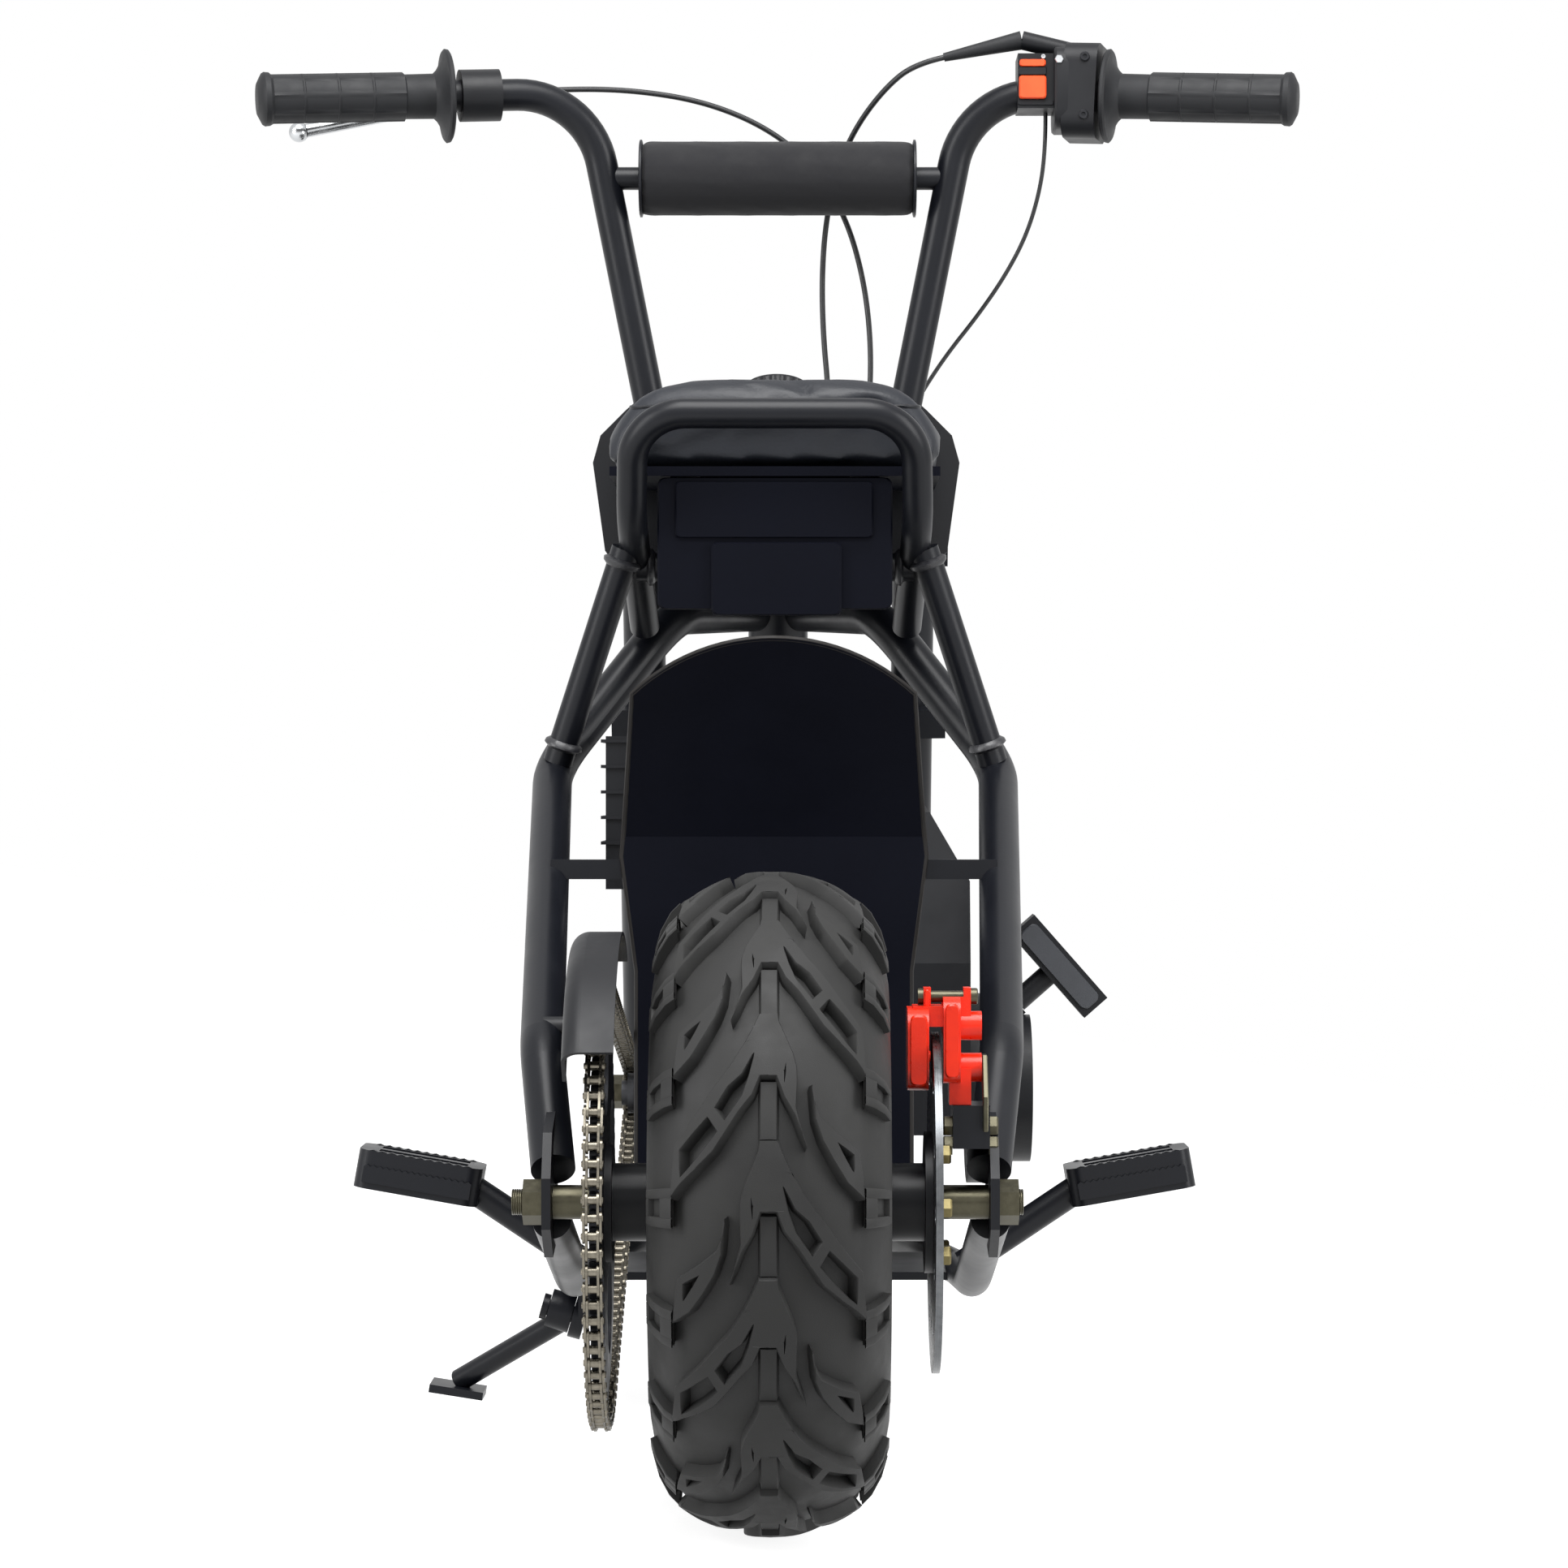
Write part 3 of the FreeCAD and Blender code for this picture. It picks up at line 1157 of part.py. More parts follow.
WIRE_ROUTE = [
    Vector(187, 646, 882), Vector(187, 646, 860), Vector(184, 655, 831), Vector(175, 667, 800),
    Vector(160, 678, 772), Vector(141, 686, 745), Vector(120, 690, 719), Vector(102, 691, 692),
    Vector(88, 692, 666), on_axis(78, 50, CROWN_SOCKET + 26), on_axis(78, 50, CROWN_SOCKET)]


def cable(node, route, radius):
    radii = []
    for before, corner, after in zip(route, route[1:], route[2:]):
        half_turn = (corner - before).getAngle(after - corner) / 2
        shorter = min((corner - before).Length, (after - corner).Length)
        radii.append(0.45 * shorter / math.tan(half_turn))
    print(node, "bend radii", [round(value) for value in radii])
    return keep(bent_tube(node + "_tube", route, radii, radius), node)


def cable_guide():
    sockets = []
    for index, across in enumerate((60, 34, 78)):
        foot = size("head_length") + size("crown_thick") + size("face_gap")
        sockets.append(rod("guide_socket_%d" % index, "ferrule_radius", on_axis(across, 50, foot),
                           on_axis(across, 50, CROWN_SOCKET)))
    return keep(gather("cable_guide_all", sockets), "cable_guide")


# Side stand, turning on a pin through a lug under the left cradle tube
LEAN = math.radians(size("lean"))
GROUND_UP = Vector(math.sin(LEAN), 0, math.cos(LEAN))
GROUND_DROP = size("axle_height") - size("tyre_radius")
SINK = size("crown_flat") * math.sin(LEAN) - (
    size("tyre_radius") - number(crown("crown_flat"))) * math.cos(LEAN)


def ground_height(point):
    return (point - Vector(0, 0, GROUND_DROP)).dot(GROUND_UP) + SINK


STAND_AXIS = Vector(-0.962, 0, 0.274)
STAND_PIVOT = Vector(-121, 300, 84)
FOOT_ACROSS = -200
FOOT_FORWARD = 342


def foot_centre():
    drop = GROUND_DROP - (SINK + FOOT_ACROSS * GROUND_UP.x) / GROUND_UP.z
    return Vector(FOOT_ACROSS, FOOT_FORWARD, drop)


def stand_lug():
    plate = rod("lug_plate", "14", STAND_PIVOT - STAND_AXIS * 4, STAND_PIVOT + STAND_AXIS * 4)
    web = box("lug_web", "9", "28", "30", Placement(Vector(-121, 286, 84), Rotation()))
    tool = side_blank("lug_cradle", CRADLE_POINTS, CRADLE_BENDS, "cradle_tube / 2", "left")
    whole = cut("lug_cope", fuse("lug_fuse", [plate, web]), tool)
    pin = rod("lug_pin", "stand_pin", STAND_PIVOT - STAND_AXIS * 4, STAND_PIVOT + STAND_AXIS * 24)
    head = rod("lug_pin_head", "8", STAND_PIVOT + STAND_AXIS * 20, STAND_PIVOT + STAND_AXIS * 24)
    return keep(fuse("lug_all", [whole, pin, head]), "stand_lug")


def side_stand():
    start = STAND_PIVOT + STAND_AXIS * 4.5
    end = STAND_PIVOT + STAND_AXIS * 19.5
    boss = rod("stand_boss", "12", start, end)
    foot = foot_centre()
    leg = rod("stand_leg", "stand_tube / 2 - 1", start, foot + GROUND_UP * 8)
    turn = Rotation(Vector(0, 1, 0), size("lean"))
    corner = foot - turn.multVec(Vector(size("foot_size") / 2, size("foot_size") / 2, 0))
    plate = box("stand_foot", "foot_size", "foot_size", "foot_thick", Placement(corner, turn))
    lug_side = rod("stand_lug_side", "26", STAND_PIVOT - STAND_AXIS * 12, start)
    arm = cut("stand_arm", leg, lug_side)
    whole = fuse("stand_fuse", [boss, arm, plate])
    bore = rod("stand_bore", "stand_pin + running_gap", start - STAND_AXIS, end + STAND_AXIS)
    return keep(cut("stand_cut", whole, bore), "side_stand")


tyres()
rim("rear_rim", REAR_AXLE, "rear_hub_left", "rear_hub_right", "carrier_radius", "disc_carrier_radius")
rim("front_rim", FRONT_AXLE, "front_hub_half", "front_hub_half", "hub_radius + 4", "hub_radius + 4")
sprocket()
brake_disc()
disc_bolts()
axle("rear_axle", REAR_AXLE, 143, 139, 125.8, 125.8)
axle("front_axle", FRONT_AXLE, 133.5, 133.5, 116.3, 116.3)
spacers("rear_spacers", REAR_AXLE, [(-120.2, -91.3), (88.9, 120.2)])
spacers("front_spacers", FRONT_AXLE, [(-75.7, -60.3), (60.3, 75.7)])
head_tube()
main_tubes()
cradle_tubes()
seat_loop()
seat_stays()
dropouts()
engine_plate()
rear_fender()
fender_straps()
chain()
chain_guard()
engine()
cylinder_barrel()
shroud()
recoil_starter()
pull_handle()
air_filter()
carburettor()
muffler()
tank()
tank_saddle()
tank_cap()
seat()
seat_pan()
seat_bridge()
foot_pegs()
caliper()
caliper_bracket()
lower_crown()
upper_crown()
fork_legs()
handlebar()
crossbar()
bar_pad()
grips()
front_fender()
left_perch()
brake_lever()
throttle_housing()
stop_switch()
cable_boot()
cable_guide()
cable("brake_cable", BRAKE_ROUTE, "cable / 2")
cable("throttle_cable", THROTTLE_ROUTE, "cable / 2")
cable("switch_wire", WIRE_ROUTE, "wire / 2")
stand_lug()
side_stand()
doc.recompute()

# Lean the whole machine onto its stand and set it on the ground, centred on its footprint
for obj, node, place in pieces:
    obj.Placement = place
doc.recompute()
TILT = Placement(Vector(0, 0, SINK - GROUND_DROP * GROUND_UP.z), Rotation(Vector(0, 1, 0), -size("lean")))
bounds = FreeCAD.BoundBox()
for obj, node, place in pieces:
    shape = obj.Shape.copy()
    shape.Placement = TILT.multiply(shape.Placement)
    bounds.add(shape.optimalBoundingBox(False))
STAND = Placement(Vector(-bounds.Center.x, -bounds.Center.y, 0), Rotation()).multiply(TILT)
for obj, node, place in pieces:
    obj.Placement = STAND.multiply(place)
doc.recompute()

for obj in doc.Objects:
    if "Invalid" in obj.State or "Error" in obj.State:
        raise RuntimeError("failed: %s %s" % (obj.Name, obj.State))
for obj, node, place in pieces:
    if obj.Shape.isNull() or not obj.Shape.isValid() or not obj.Shape.Solids:
        raise RuntimeError("bad shape: " + node)
    obj.Shape.exportStep("parts/%s.step" % node)
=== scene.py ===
import json
import math

import bmesh
import bpy
from mathutils import Matrix, Vector
from mathutils.bvhtree import BVHTree
from mathutils.geometry import tessellate_polygon


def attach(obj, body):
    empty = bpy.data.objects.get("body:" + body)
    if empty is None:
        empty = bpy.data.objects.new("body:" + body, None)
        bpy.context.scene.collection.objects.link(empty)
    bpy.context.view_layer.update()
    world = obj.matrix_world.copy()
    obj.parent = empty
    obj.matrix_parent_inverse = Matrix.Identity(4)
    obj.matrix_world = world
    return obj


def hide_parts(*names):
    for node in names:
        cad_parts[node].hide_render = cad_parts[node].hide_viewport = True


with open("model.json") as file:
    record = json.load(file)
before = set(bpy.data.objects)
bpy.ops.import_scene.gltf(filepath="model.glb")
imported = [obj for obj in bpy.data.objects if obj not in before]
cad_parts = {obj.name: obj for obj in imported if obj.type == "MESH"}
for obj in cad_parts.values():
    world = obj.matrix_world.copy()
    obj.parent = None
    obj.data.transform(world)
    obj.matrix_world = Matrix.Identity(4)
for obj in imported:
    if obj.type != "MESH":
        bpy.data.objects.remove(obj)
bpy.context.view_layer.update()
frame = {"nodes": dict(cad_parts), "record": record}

# The bike is drawn upright in millimetres, rear axle over zero, and leans as the wheel's axis does
rear_joint = [joint for joint in frame["record"]["behaviour"]["joints"]
              if joint["name"] == "rear_wheel_turn"][0]
ACROSS = Vector(rear_joint["axis"]).normalized()
UPWARD = Vector((-ACROSS.z, 0, ACROSS.x))
AHEAD = Vector((0, 1, 0))
LEANED = Matrix((ACROSS, AHEAD, UPWARD)).transposed()
TYRE_RADIUS = 183
AXLE = Vector(rear_joint["pos_m"])
GROUND = AXLE - UPWARD * TYRE_RADIUS / 1000
WHEELBASE = 880
RAKE = math.radians(24)
FORK_OFFSET, FORK_LENGTH = 35, 320
STEER_UP = Vector((0, -math.sin(RAKE), math.cos(RAKE)))
STEER_AHEAD = Vector((0, math.cos(RAKE), math.sin(RAKE)))
HEAD_FOOT = (Vector((0, WHEELBASE, TYRE_RADIUS)) - STEER_AHEAD * FORK_OFFSET
             + STEER_UP * FORK_LENGTH)


def leaned(point):
    """A place in the frame, in metres, for one on the upright bike, in millimetres."""
    return GROUND + LEANED @ (Vector(point) / 1000)


def on_axis(right, ahead, up):
    """A place on the upright bike for one measured from the steering head's foot, along it."""
    return HEAD_FOOT + Vector((right, 0, 0)) + STEER_AHEAD * ahead + STEER_UP * up


# Materials: colours are sRGB hex, lengths are millimetres on the real surface
def colour(code):
    parts = [int(code[index:index + 2], 16) / 255 for index in (0, 2, 4)]
    linear = [value / 12.92 if value <= 0.04045 else ((value + 0.055) / 1.055) ** 2.4
              for value in parts]
    return (*linear, 1)


def add(tree, kind, links=None, **settings):
    """One node of a kind: links holds what goes into its sockets, by name or number."""
    made = tree.nodes.new(kind)
    for name, value in settings.items():
        setattr(made, name, value)
    for name, value in (links or {}).items():
        if isinstance(value, bpy.types.NodeSocket):
            tree.links.new(value, made.inputs[name])
        else:
            made.inputs[name].default_value = value
    return made


def grain_noise(tree, where, size):
    """The fine orange peel of paint, moulded plastic or cast metal."""
    return add(tree, "ShaderNodeTexNoise", {"Vector": where, "Scale": 1000 / size, "Detail": 2,
                                            "Roughness": 0.5}).outputs["Fac"]


def leather_cells(tree, where, size):
    """Pressed leather grain: small raised cells between valleys."""
    return add(tree, "ShaderNodeTexVoronoi", {"Vector": where, "Scale": 1000 / size},
               feature="SMOOTH_F1").outputs["Distance"]


def woven_threads(tree, where, size):
    """Plain weave: two rows of ridges that cross at right angles."""
    # the node draws 20 / (2 pi) ridges in each unit at scale 1
    scale = 1000 / size * math.pi / 10
    rows = [add(tree, "ShaderNodeTexWave", {"Vector": where, "Scale": scale, "Distortion": 0.6,
                                            "Detail Scale": 3},
                wave_type="BANDS", bands_direction=way).outputs["Fac"] for way in ("X", "Z")]
    return add(tree, "ShaderNodeMath", {0: rows[0], 1: rows[1]}, operation="MAXIMUM").outputs[0]


def lathe_rings(tree, where, size):
    """Fine rings that turning and grinding leave round the wheel's axis."""
    flat = add(tree, "ShaderNodeVectorMath", {0: where, 1: tuple(AXLE)}, operation="SUBTRACT")
    reach = add(tree, "ShaderNodeVectorMath", {0: flat.outputs[0]}, operation="LENGTH")
    waves = add(tree, "ShaderNodeMath", {0: reach.outputs["Value"], 1: 6283 / size},
                operation="MULTIPLY")
    return add(tree, "ShaderNodeMath", {0: waves.outputs[0]}, operation="SINE").outputs[0]


def surface(name, dark, pale, patch, rough, grain, depth, metal=0.0, pattern=grain_noise,
            **extra):
    """A finish: two close colours in patches, a range of roughness, and a grain in relief.

    dark and pale are hex colours, patch, grain and depth are millimetres, rough is the lowest and
    the highest roughness, and extra sets more sockets of the shader.
    """
    material = bpy.data.materials.new(name)
    material.use_nodes = True
    tree = material.node_tree
    tree.nodes.clear()
    where = add(tree, "ShaderNodeTexCoord").outputs["Object"]
    patches = add(tree, "ShaderNodeTexNoise",
                  {"Vector": where, "Scale": 1000 / patch, "Detail": 5, "Roughness": 0.6})
    # of the mix node's sockets 6 and 7 are the two colours
    tint = add(tree, "ShaderNodeMix", {0: patches.outputs["Fac"], 6: colour(dark),
                                       7: colour(pale)}, data_type="RGBA")
    gloss = add(tree, "ShaderNodeMapRange",
                {"Value": patches.outputs["Fac"], "From Min": 0.3, "From Max": 0.7,
                 "To Min": rough[0], "To Max": rough[1]})
    bump = add(tree, "ShaderNodeBump", {"Height": pattern(tree, where, grain), "Strength": 0.8,
                                        "Distance": depth / 1000})
    shader = add(tree, "ShaderNodeBsdfPrincipled",
                 {"Base Color": tint.outputs[2], "Metallic": metal,
                  "Roughness": gloss.outputs["Result"], "Normal": bump.outputs["Normal"]})
    for socket, value in extra.items():
        shader.inputs[socket.replace("_", " ")].default_value = value
    add(tree, "ShaderNodeOutputMaterial", {"Surface": shader.outputs["BSDF"]})
    return material


# Steel tube, powder coated: satin, with a faint orange peel about 1.6 mm across
powder_coat = surface("powder_coat_satin_black", "090a0e", "111319", 70, (0.3, 0.42), 1.6, 0.03,
                      Specular_IOR_Level=0.22)
# Vulcanised rubber: matt charcoal with a dusty bloom, and the mould's fine tooth
tyre_rubber = surface("moulded_tyre_rubber", "151516", "292928", 24, (0.5, 0.7), 0.6, 0.06,
                      Specular_IOR_Level=0.25)
# Softer rubber of the grips: matt, a little bluer than the tyre
grip_rubber = surface("moulded_grip_rubber", "111214", "1a1b1e", 18, (0.5, 0.66), 0.7, 0.05,
                      Specular_IOR_Level=0.3)
# Injection moulded polypropylene: dull sheen over a spark-eroded grain of 0.6 mm
black_abs = surface("moulded_black_plastic", "0b0c0f", "131418", 30, (0.38, 0.54), 0.6, 0.03,
                    Specular_IOR_Level=0.25)
# Splash guard of the same plastic, smoother and with a navy cast, painted much darker than that
# plastic: painted shade for the shade under the seat
navy_plastic_painted_shade = surface("smooth_plastic_painted_shade_navy", "04050c", "080a14", 60, (0.5, 0.62), 1.2, 0.02,
                       Specular_IOR_Level=0.07)
# Polished plastic tank: clear reflections with a slight waviness
gloss_abs = surface("gloss_black_plastic", "08090c", "0f1015", 40, (0.18, 0.28), 3.0, 0.01,
                    Specular_IOR_Level=0.3)
# Blackened steel of sprocket and muffler: dark, half metallic, rubbed in patches of 12 mm
dark_steel = surface("blackened_steel", "131416", "222328", 12, (0.36, 0.55), 0.8, 0.03, 0.6)
# Nickel plated chain steel: bright spots between brownish ones, where oil dulls it link by link
chain_steel = surface("nickel_plated_steel", "38352f", "918b7e", 4, (0.22, 0.42), 0.5, 0.02, 1.0)
# Ground brake steel: grey rings round the axle, drawn 1 mm apart so that they show
disc_steel = surface("ground_disc_steel", "3f4143", "737577", 6, (0.22, 0.38), 1.0, 0.03, 1.0,
                     lathe_rings)
# Zinc plate, olive passivated, on spacers and nuts
zinc = surface("olive_zinc_plate", "353329", "5b584a", 5, (0.28, 0.44), 0.6, 0.03, 1.0)
# Zinc plate, yellow passivated and dulled, on bolt heads
gold_zinc = surface("yellow_zinc_plate", "4c4630", "7a704e", 5, (0.26, 0.42), 0.6, 0.02, 1.0)
# Bright zinc on screws and clips
bright_zinc = surface("bright_zinc_plate", "a5a8ab", "cfd1d3", 5, (0.22, 0.36), 0.6, 0.02, 1.0)
# Sand cast aluminium, left rough: a grain of about 0.9 mm
cast_alloy = surface("sand_cast_alloy", "3a3b3e", "58595c", 9, (0.45, 0.62), 0.9, 0.08, 0.8)
# Polished aluminium of the lever
bare_alloy = surface("polished_lever_alloy", "a9abad", "d2d4d6", 14, (0.2, 0.34), 1.2, 0.02, 1.0)
# Baked enamel on the caliper's casting: red, glossy, with the casting's skin showing through
red_enamel = surface("red_enamel_on_casting", "d02008", "ec3212", 14, (0.24, 0.36), 1.4, 0.06,
                     Specular_IOR_Level=0.3)
# Dyed nylon of the switch rockers
orange_nylon = surface("orange_nylon", "e8431a", "ff5a26", 15, (0.35, 0.45), 0.6, 0.02)
# Expanded vinyl over foam: leather grain pressed 1.8 mm wide, slightly shiny on its high spots
seat_vinyl = surface("grained_seat_vinyl", "0f1116", "1b1e25", 40, (0.4, 0.56), 1.8, 0.16, 0.0,
                     leather_cells, Specular_IOR_Level=0.32)
# Stitched piping of the same vinyl, rubbed shinier
piping_vinyl = surface("rubbed_piping_vinyl", "0c0d11", "15171c", 18, (0.36, 0.48), 1.0, 0.03,
                       Specular_IOR_Level=0.25)
# Woven nylon cover: matt with a faint sheen, over broad soft ribs 8.8 mm apart both ways
pad_cover = surface("woven_pad_cover", "121214", "1c1c1f", 20, (0.7, 0.86), 8.8, 0.12, 0.0,
                    woven_threads, Sheen_Weight=0.12, Specular_IOR_Level=0.2)
# Extruded PVC sheath
cable_sheath = surface("extruded_pvc_sheath", "0d0e10", "16171a", 10, (0.36, 0.5), 1.0, 0.02)
# Weld beads under the powder coat: lumpy, and coloured paler than the coat over them, a painted
# highlight where they catch the light
weld_painted_highlight = surface("powder_coated_weld_bead_painted_highlight", "15161a", "2b2b2e", 3, (0.3, 0.5), 1.5, 0.15)
# Rolled edge of the splash guard: the same plastic, coloured to a paler brownish line that is a
# painted highlight along the rim
edge_plastic_painted_highlight = surface("guard_edge_plastic_painted_highlight", "0d0c0e", "1c1916", 9, (0.5, 0.65), 0.6, 0.03,
                       Specular_IOR_Level=0.2)
# Bare handle moulding, dark grey
grey_plastic = surface("moulded_grey_plastic", "2c2e32", "3c3e43", 16, (0.42, 0.56), 0.6, 0.03)

FINISHES = {
    "rear_tyre": tyre_rubber, "front_tyre": tyre_rubber, "grips": grip_rubber,
    "cable_boot": grip_rubber, "rear_sprocket": dark_steel, "brake_disc": disc_steel,
    "disc_bolts": gold_zinc, "rear_axle": zinc, "front_axle": zinc, "rear_spacers": zinc,
    "front_spacers": zinc, "chain": chain_steel, "chain_guard": black_abs,
    "engine_block": cast_alloy, "engine_barrel": cast_alloy, "carburettor": cast_alloy,
    "engine_shroud": black_abs, "recoil_starter": black_abs, "pull_handle": black_abs,
    "air_filter": black_abs, "muffler": dark_steel, "fuel_tank": gloss_abs,
    "tank_cap": black_abs, "seat": seat_vinyl, "brake_caliper": red_enamel,
    "bar_pad": pad_cover, "front_fender": black_abs, "left_perch": black_abs,
    "brake_lever": bare_alloy, "throttle_housing": black_abs, "stop_switch": black_abs,
    "cable_guide": zinc, "brake_cable": cable_sheath, "throttle_cable": cable_sheath,
    # rear fender and seat pan take the plastic painted darker as shade under the seat
    "switch_wire": cable_sheath, "caliper_bracket": powder_coat, "rear_fender": navy_plastic_painted_shade,
    "seat_pan": navy_plastic_painted_shade,
}
for node, part in frame["nodes"].items():
    part.data.materials.clear()
    part.data.materials.append(FINISHES.get(node, powder_coat))


# Stage: a white floor that keeps a soft shadow, and even studio light
def looked_at(tree):
    """One for rays from the camera, a mirroring surface or glass, and zero for all others."""
    path = add(tree, "ShaderNodeLightPath")
    mirrored = add(tree, "ShaderNodeMath", {0: path.outputs["Is Camera Ray"],
                                            1: path.outputs["Is Glossy Ray"]}, operation="MAXIMUM")
    return add(tree, "ShaderNodeMath", {0: mirrored.outputs[0],
                                        1: path.outputs["Is Transmission Ray"]},
               operation="MAXIMUM").outputs[0]


FLOOR_REACH = 6


def make_stage():
    """A floor that glows white where it is seen, and a world that does the same."""
    mesh = bpy.data.meshes.new("studio_floor")
    mesh.from_pydata([(across * FLOOR_REACH, ahead * FLOOR_REACH, 0) for across, ahead in
                      ((-1, -1), (1, -1), (1, 1), (-1, 1))], [], [(0, 1, 2, 3)])
    floor = bpy.data.objects.new("studio_floor", mesh)
    bpy.context.collection.objects.link(floor)
    material = bpy.data.materials.new("studio_white")
    material.use_nodes = True
    tree = material.node_tree
    tree.nodes.clear()
    place = add(tree, "ShaderNodeTexCoord").outputs["Object"]
    away = add(tree, "ShaderNodeVectorMath", {0: place}, operation="LENGTH").outputs["Value"]
    # a little under white near the wheels, so that the soft shadow shows, and white further out
    rise = add(tree, "ShaderNodeMapRange", {"Value": away, "From Min": 0.7, "From Max": 1.7,
                                            "To Min": 0.88, "To Max": 1.0})
    glow = add(tree, "ShaderNodeEmission", {"Color": (1, 1, 1, 1),
                                            "Strength": rise.outputs["Result"]})
    # the bike itself gets light from a plain grey floor, and little from the world around
    faint = add(tree, "ShaderNodeBsdfDiffuse", {"Color": (0.42, 0.42, 0.42, 1)})
    seen = add(tree, "ShaderNodeAddShader", {0: glow.outputs[0], 1: faint.outputs[0]})
    matt = add(tree, "ShaderNodeBsdfDiffuse", {"Color": (0.55, 0.55, 0.55, 1)})
    both = add(tree, "ShaderNodeMixShader", {0: looked_at(tree), 1: matt.outputs[0],
                                             2: seen.outputs[0]})
    add(tree, "ShaderNodeOutputMaterial", {"Surface": both.outputs[0]})
    mesh.materials.append(material)

    world = bpy.data.worlds.new("studio")
    bpy.context.scene.world = world
    world.use_nodes = True
    tree = world.node_tree
    tree.nodes.clear()
    plain = add(tree, "ShaderNodeBackground", {"Color": (1, 1, 1, 1), "Strength": 0.12})
    white = add(tree, "ShaderNodeBackground", {"Color": (1, 1, 1, 1), "Strength": 1})
    blend = add(tree, "ShaderNodeMixShader", {0: looked_at(tree), 1: plain.outputs[0],
                                              2: white.outputs[0]})
    add(tree, "ShaderNodeOutputWorld", {"Surface": blend.outputs[0]})


# Name, place in millimetres beside the upright bike, size in metres, power in watts
LAMPS = [
    ("left_softbox", (-2400, -1100, 1300), (1.0, 2.4), 62),
    ("right_softbox", (2400, -900, 1300), (1.0, 2.4), 58),
    ("top_softbox", (0, -900, 2900), (2.0, 2.0), 135),
    ("rear_fill", (300, -3600, 1700), (2.2, 1.6), 9),
]


def make_lamps():
    for name, place, spread, power in LAMPS:
        lamp = bpy.data.lights.new(name, "AREA")
        lamp.shape = "RECTANGLE"
        lamp.size, lamp.size_y = spread
        lamp.energy = power
        holder = bpy.data.objects.new(name, lamp)
        bpy.context.collection.objects.link(holder)
        holder.location = leaned(place)
        aim = leaned((0, 200, 450)) - holder.location
        holder.rotation_euler = aim.to_track_quat("-Z", "Y").to_euler()


# Camera: level with the seat, straight behind the upright bike, so it leans with the bike
CAMERA_BACK = 2450
CAMERA_SIDE = 18
CAMERA_HEIGHT = 414
FOCAL_PIXELS = 5463
FRAME_PIXELS = 1932
PRINCIPAL_COLUMN = 990
SENSOR = 36


def make_camera():
    data = bpy.data.cameras.new("camera")
    camera = bpy.data.objects.new("camera", data)
    bpy.context.collection.objects.link(camera)
    data.sensor_width = SENSOR
    data.lens = FOCAL_PIXELS / FRAME_PIXELS * SENSOR
    data.shift_x = (FRAME_PIXELS / 2 - PRINCIPAL_COLUMN) / FRAME_PIXELS
    turn = Matrix((ACROSS, UPWARD, -AHEAD)).transposed().to_4x4()
    camera.matrix_world = Matrix.Translation(
        leaned((CAMERA_SIDE, -CAMERA_BACK, CAMERA_HEIGHT))) @ turn
    bpy.context.scene.camera = camera


# Shapes: every mesh is drawn in the upright bike's millimetres and then leaned over
def piece(name, shape, material, body, smooth=40, replaces=()):
    """Turns a drawn shape into an object that rides on a body."""
    for vertex in shape.verts:
        vertex.co = leaned(vertex.co)
    mesh = bpy.data.meshes.new(name)
    bmesh.ops.recalc_face_normals(shape, faces=shape.faces)
    shape.to_mesh(mesh)
    shape.free()
    made = bpy.data.objects.new(name, mesh)
    bpy.context.collection.objects.link(made)
    mesh.materials.append(material)
    if smooth:
        mesh.shade_smooth()
        mesh.set_sharp_from_angle(angle=math.radians(smooth))
    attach(made, body)
    if replaces:
        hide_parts(*replaces)
    return made


def ring_of(centre, first, second, radius, sides):
    return [centre + first * (radius * math.cos(2 * math.pi * step / sides))
            + second * (radius * math.sin(2 * math.pi * step / sides)) for step in range(sides)]


def skin(shape, rings, caps=True):
    """Faces between closed rings of equal count, and over both ends."""
    rows = [[shape.verts.new(point) for point in ring] for ring in rings]
    count = len(rows[0])
    for row, after in zip(rows, rows[1:]):
        for index in range(count):
            follow = (index + 1) % count
            shape.faces.new((row[index], row[follow], after[follow], after[index]))
    if caps:
        shape.faces.new(list(reversed(rows[0])))
        shape.faces.new(rows[-1])


def square_to(direction):
    """Two directions square to one and to each other."""
    direction = direction.normalized()
    side = direction.cross(Vector((0, 0, 1)))
    if side.length < 0.1:
        side = direction.cross(Vector((0, 1, 0)))
    side.normalize()
    return side, direction.cross(side)


def turned(shape, centre, direction, profile, sides=32, caps=True):
    """A turned form: profile is pairs of distance along the axis and radius."""
    direction = Vector(direction).normalized()
    first, second = square_to(direction)
    rings = [ring_of(Vector(centre) + direction * along, first, second, radius, sides)
             for along, radius in profile]
    skin(shape, rings, caps)


def ribbed(shape, foot, axis, profile, sides, rib):
    """A turned form with ribs: rib tells what to add to a radius at a step round it."""
    first, second = square_to(axis)
    rings = []
    for along, radius in profile:
        ring = []
        for step in range(sides):
            reach = radius + rib(radius, step)
            turn = 2 * math.pi * step / sides
            ring.append(foot + axis * along + first * (reach * math.cos(turn))
                        + second * (reach * math.sin(turn)))
        rings.append(ring)
    skin(shape, rings)


WASHER_THICK = 1.4


def bolt(shape, centre, direction, flats, height, washer=0.0):
    """A hexagon head with a chamfered top, on a washer of some radius if one is given."""
    corner = flats / 2 / math.cos(math.pi / 6)
    base = Vector(centre)
    direction = Vector(direction).normalized()
    if washer:
        turned(shape, base, direction, [(0, washer), (WASHER_THICK, washer)], 24)
        base = base + direction * WASHER_THICK
    turned(shape, base, direction,
           [(0, corner), (height * 0.82, corner), (height, corner * 0.86)], 6)


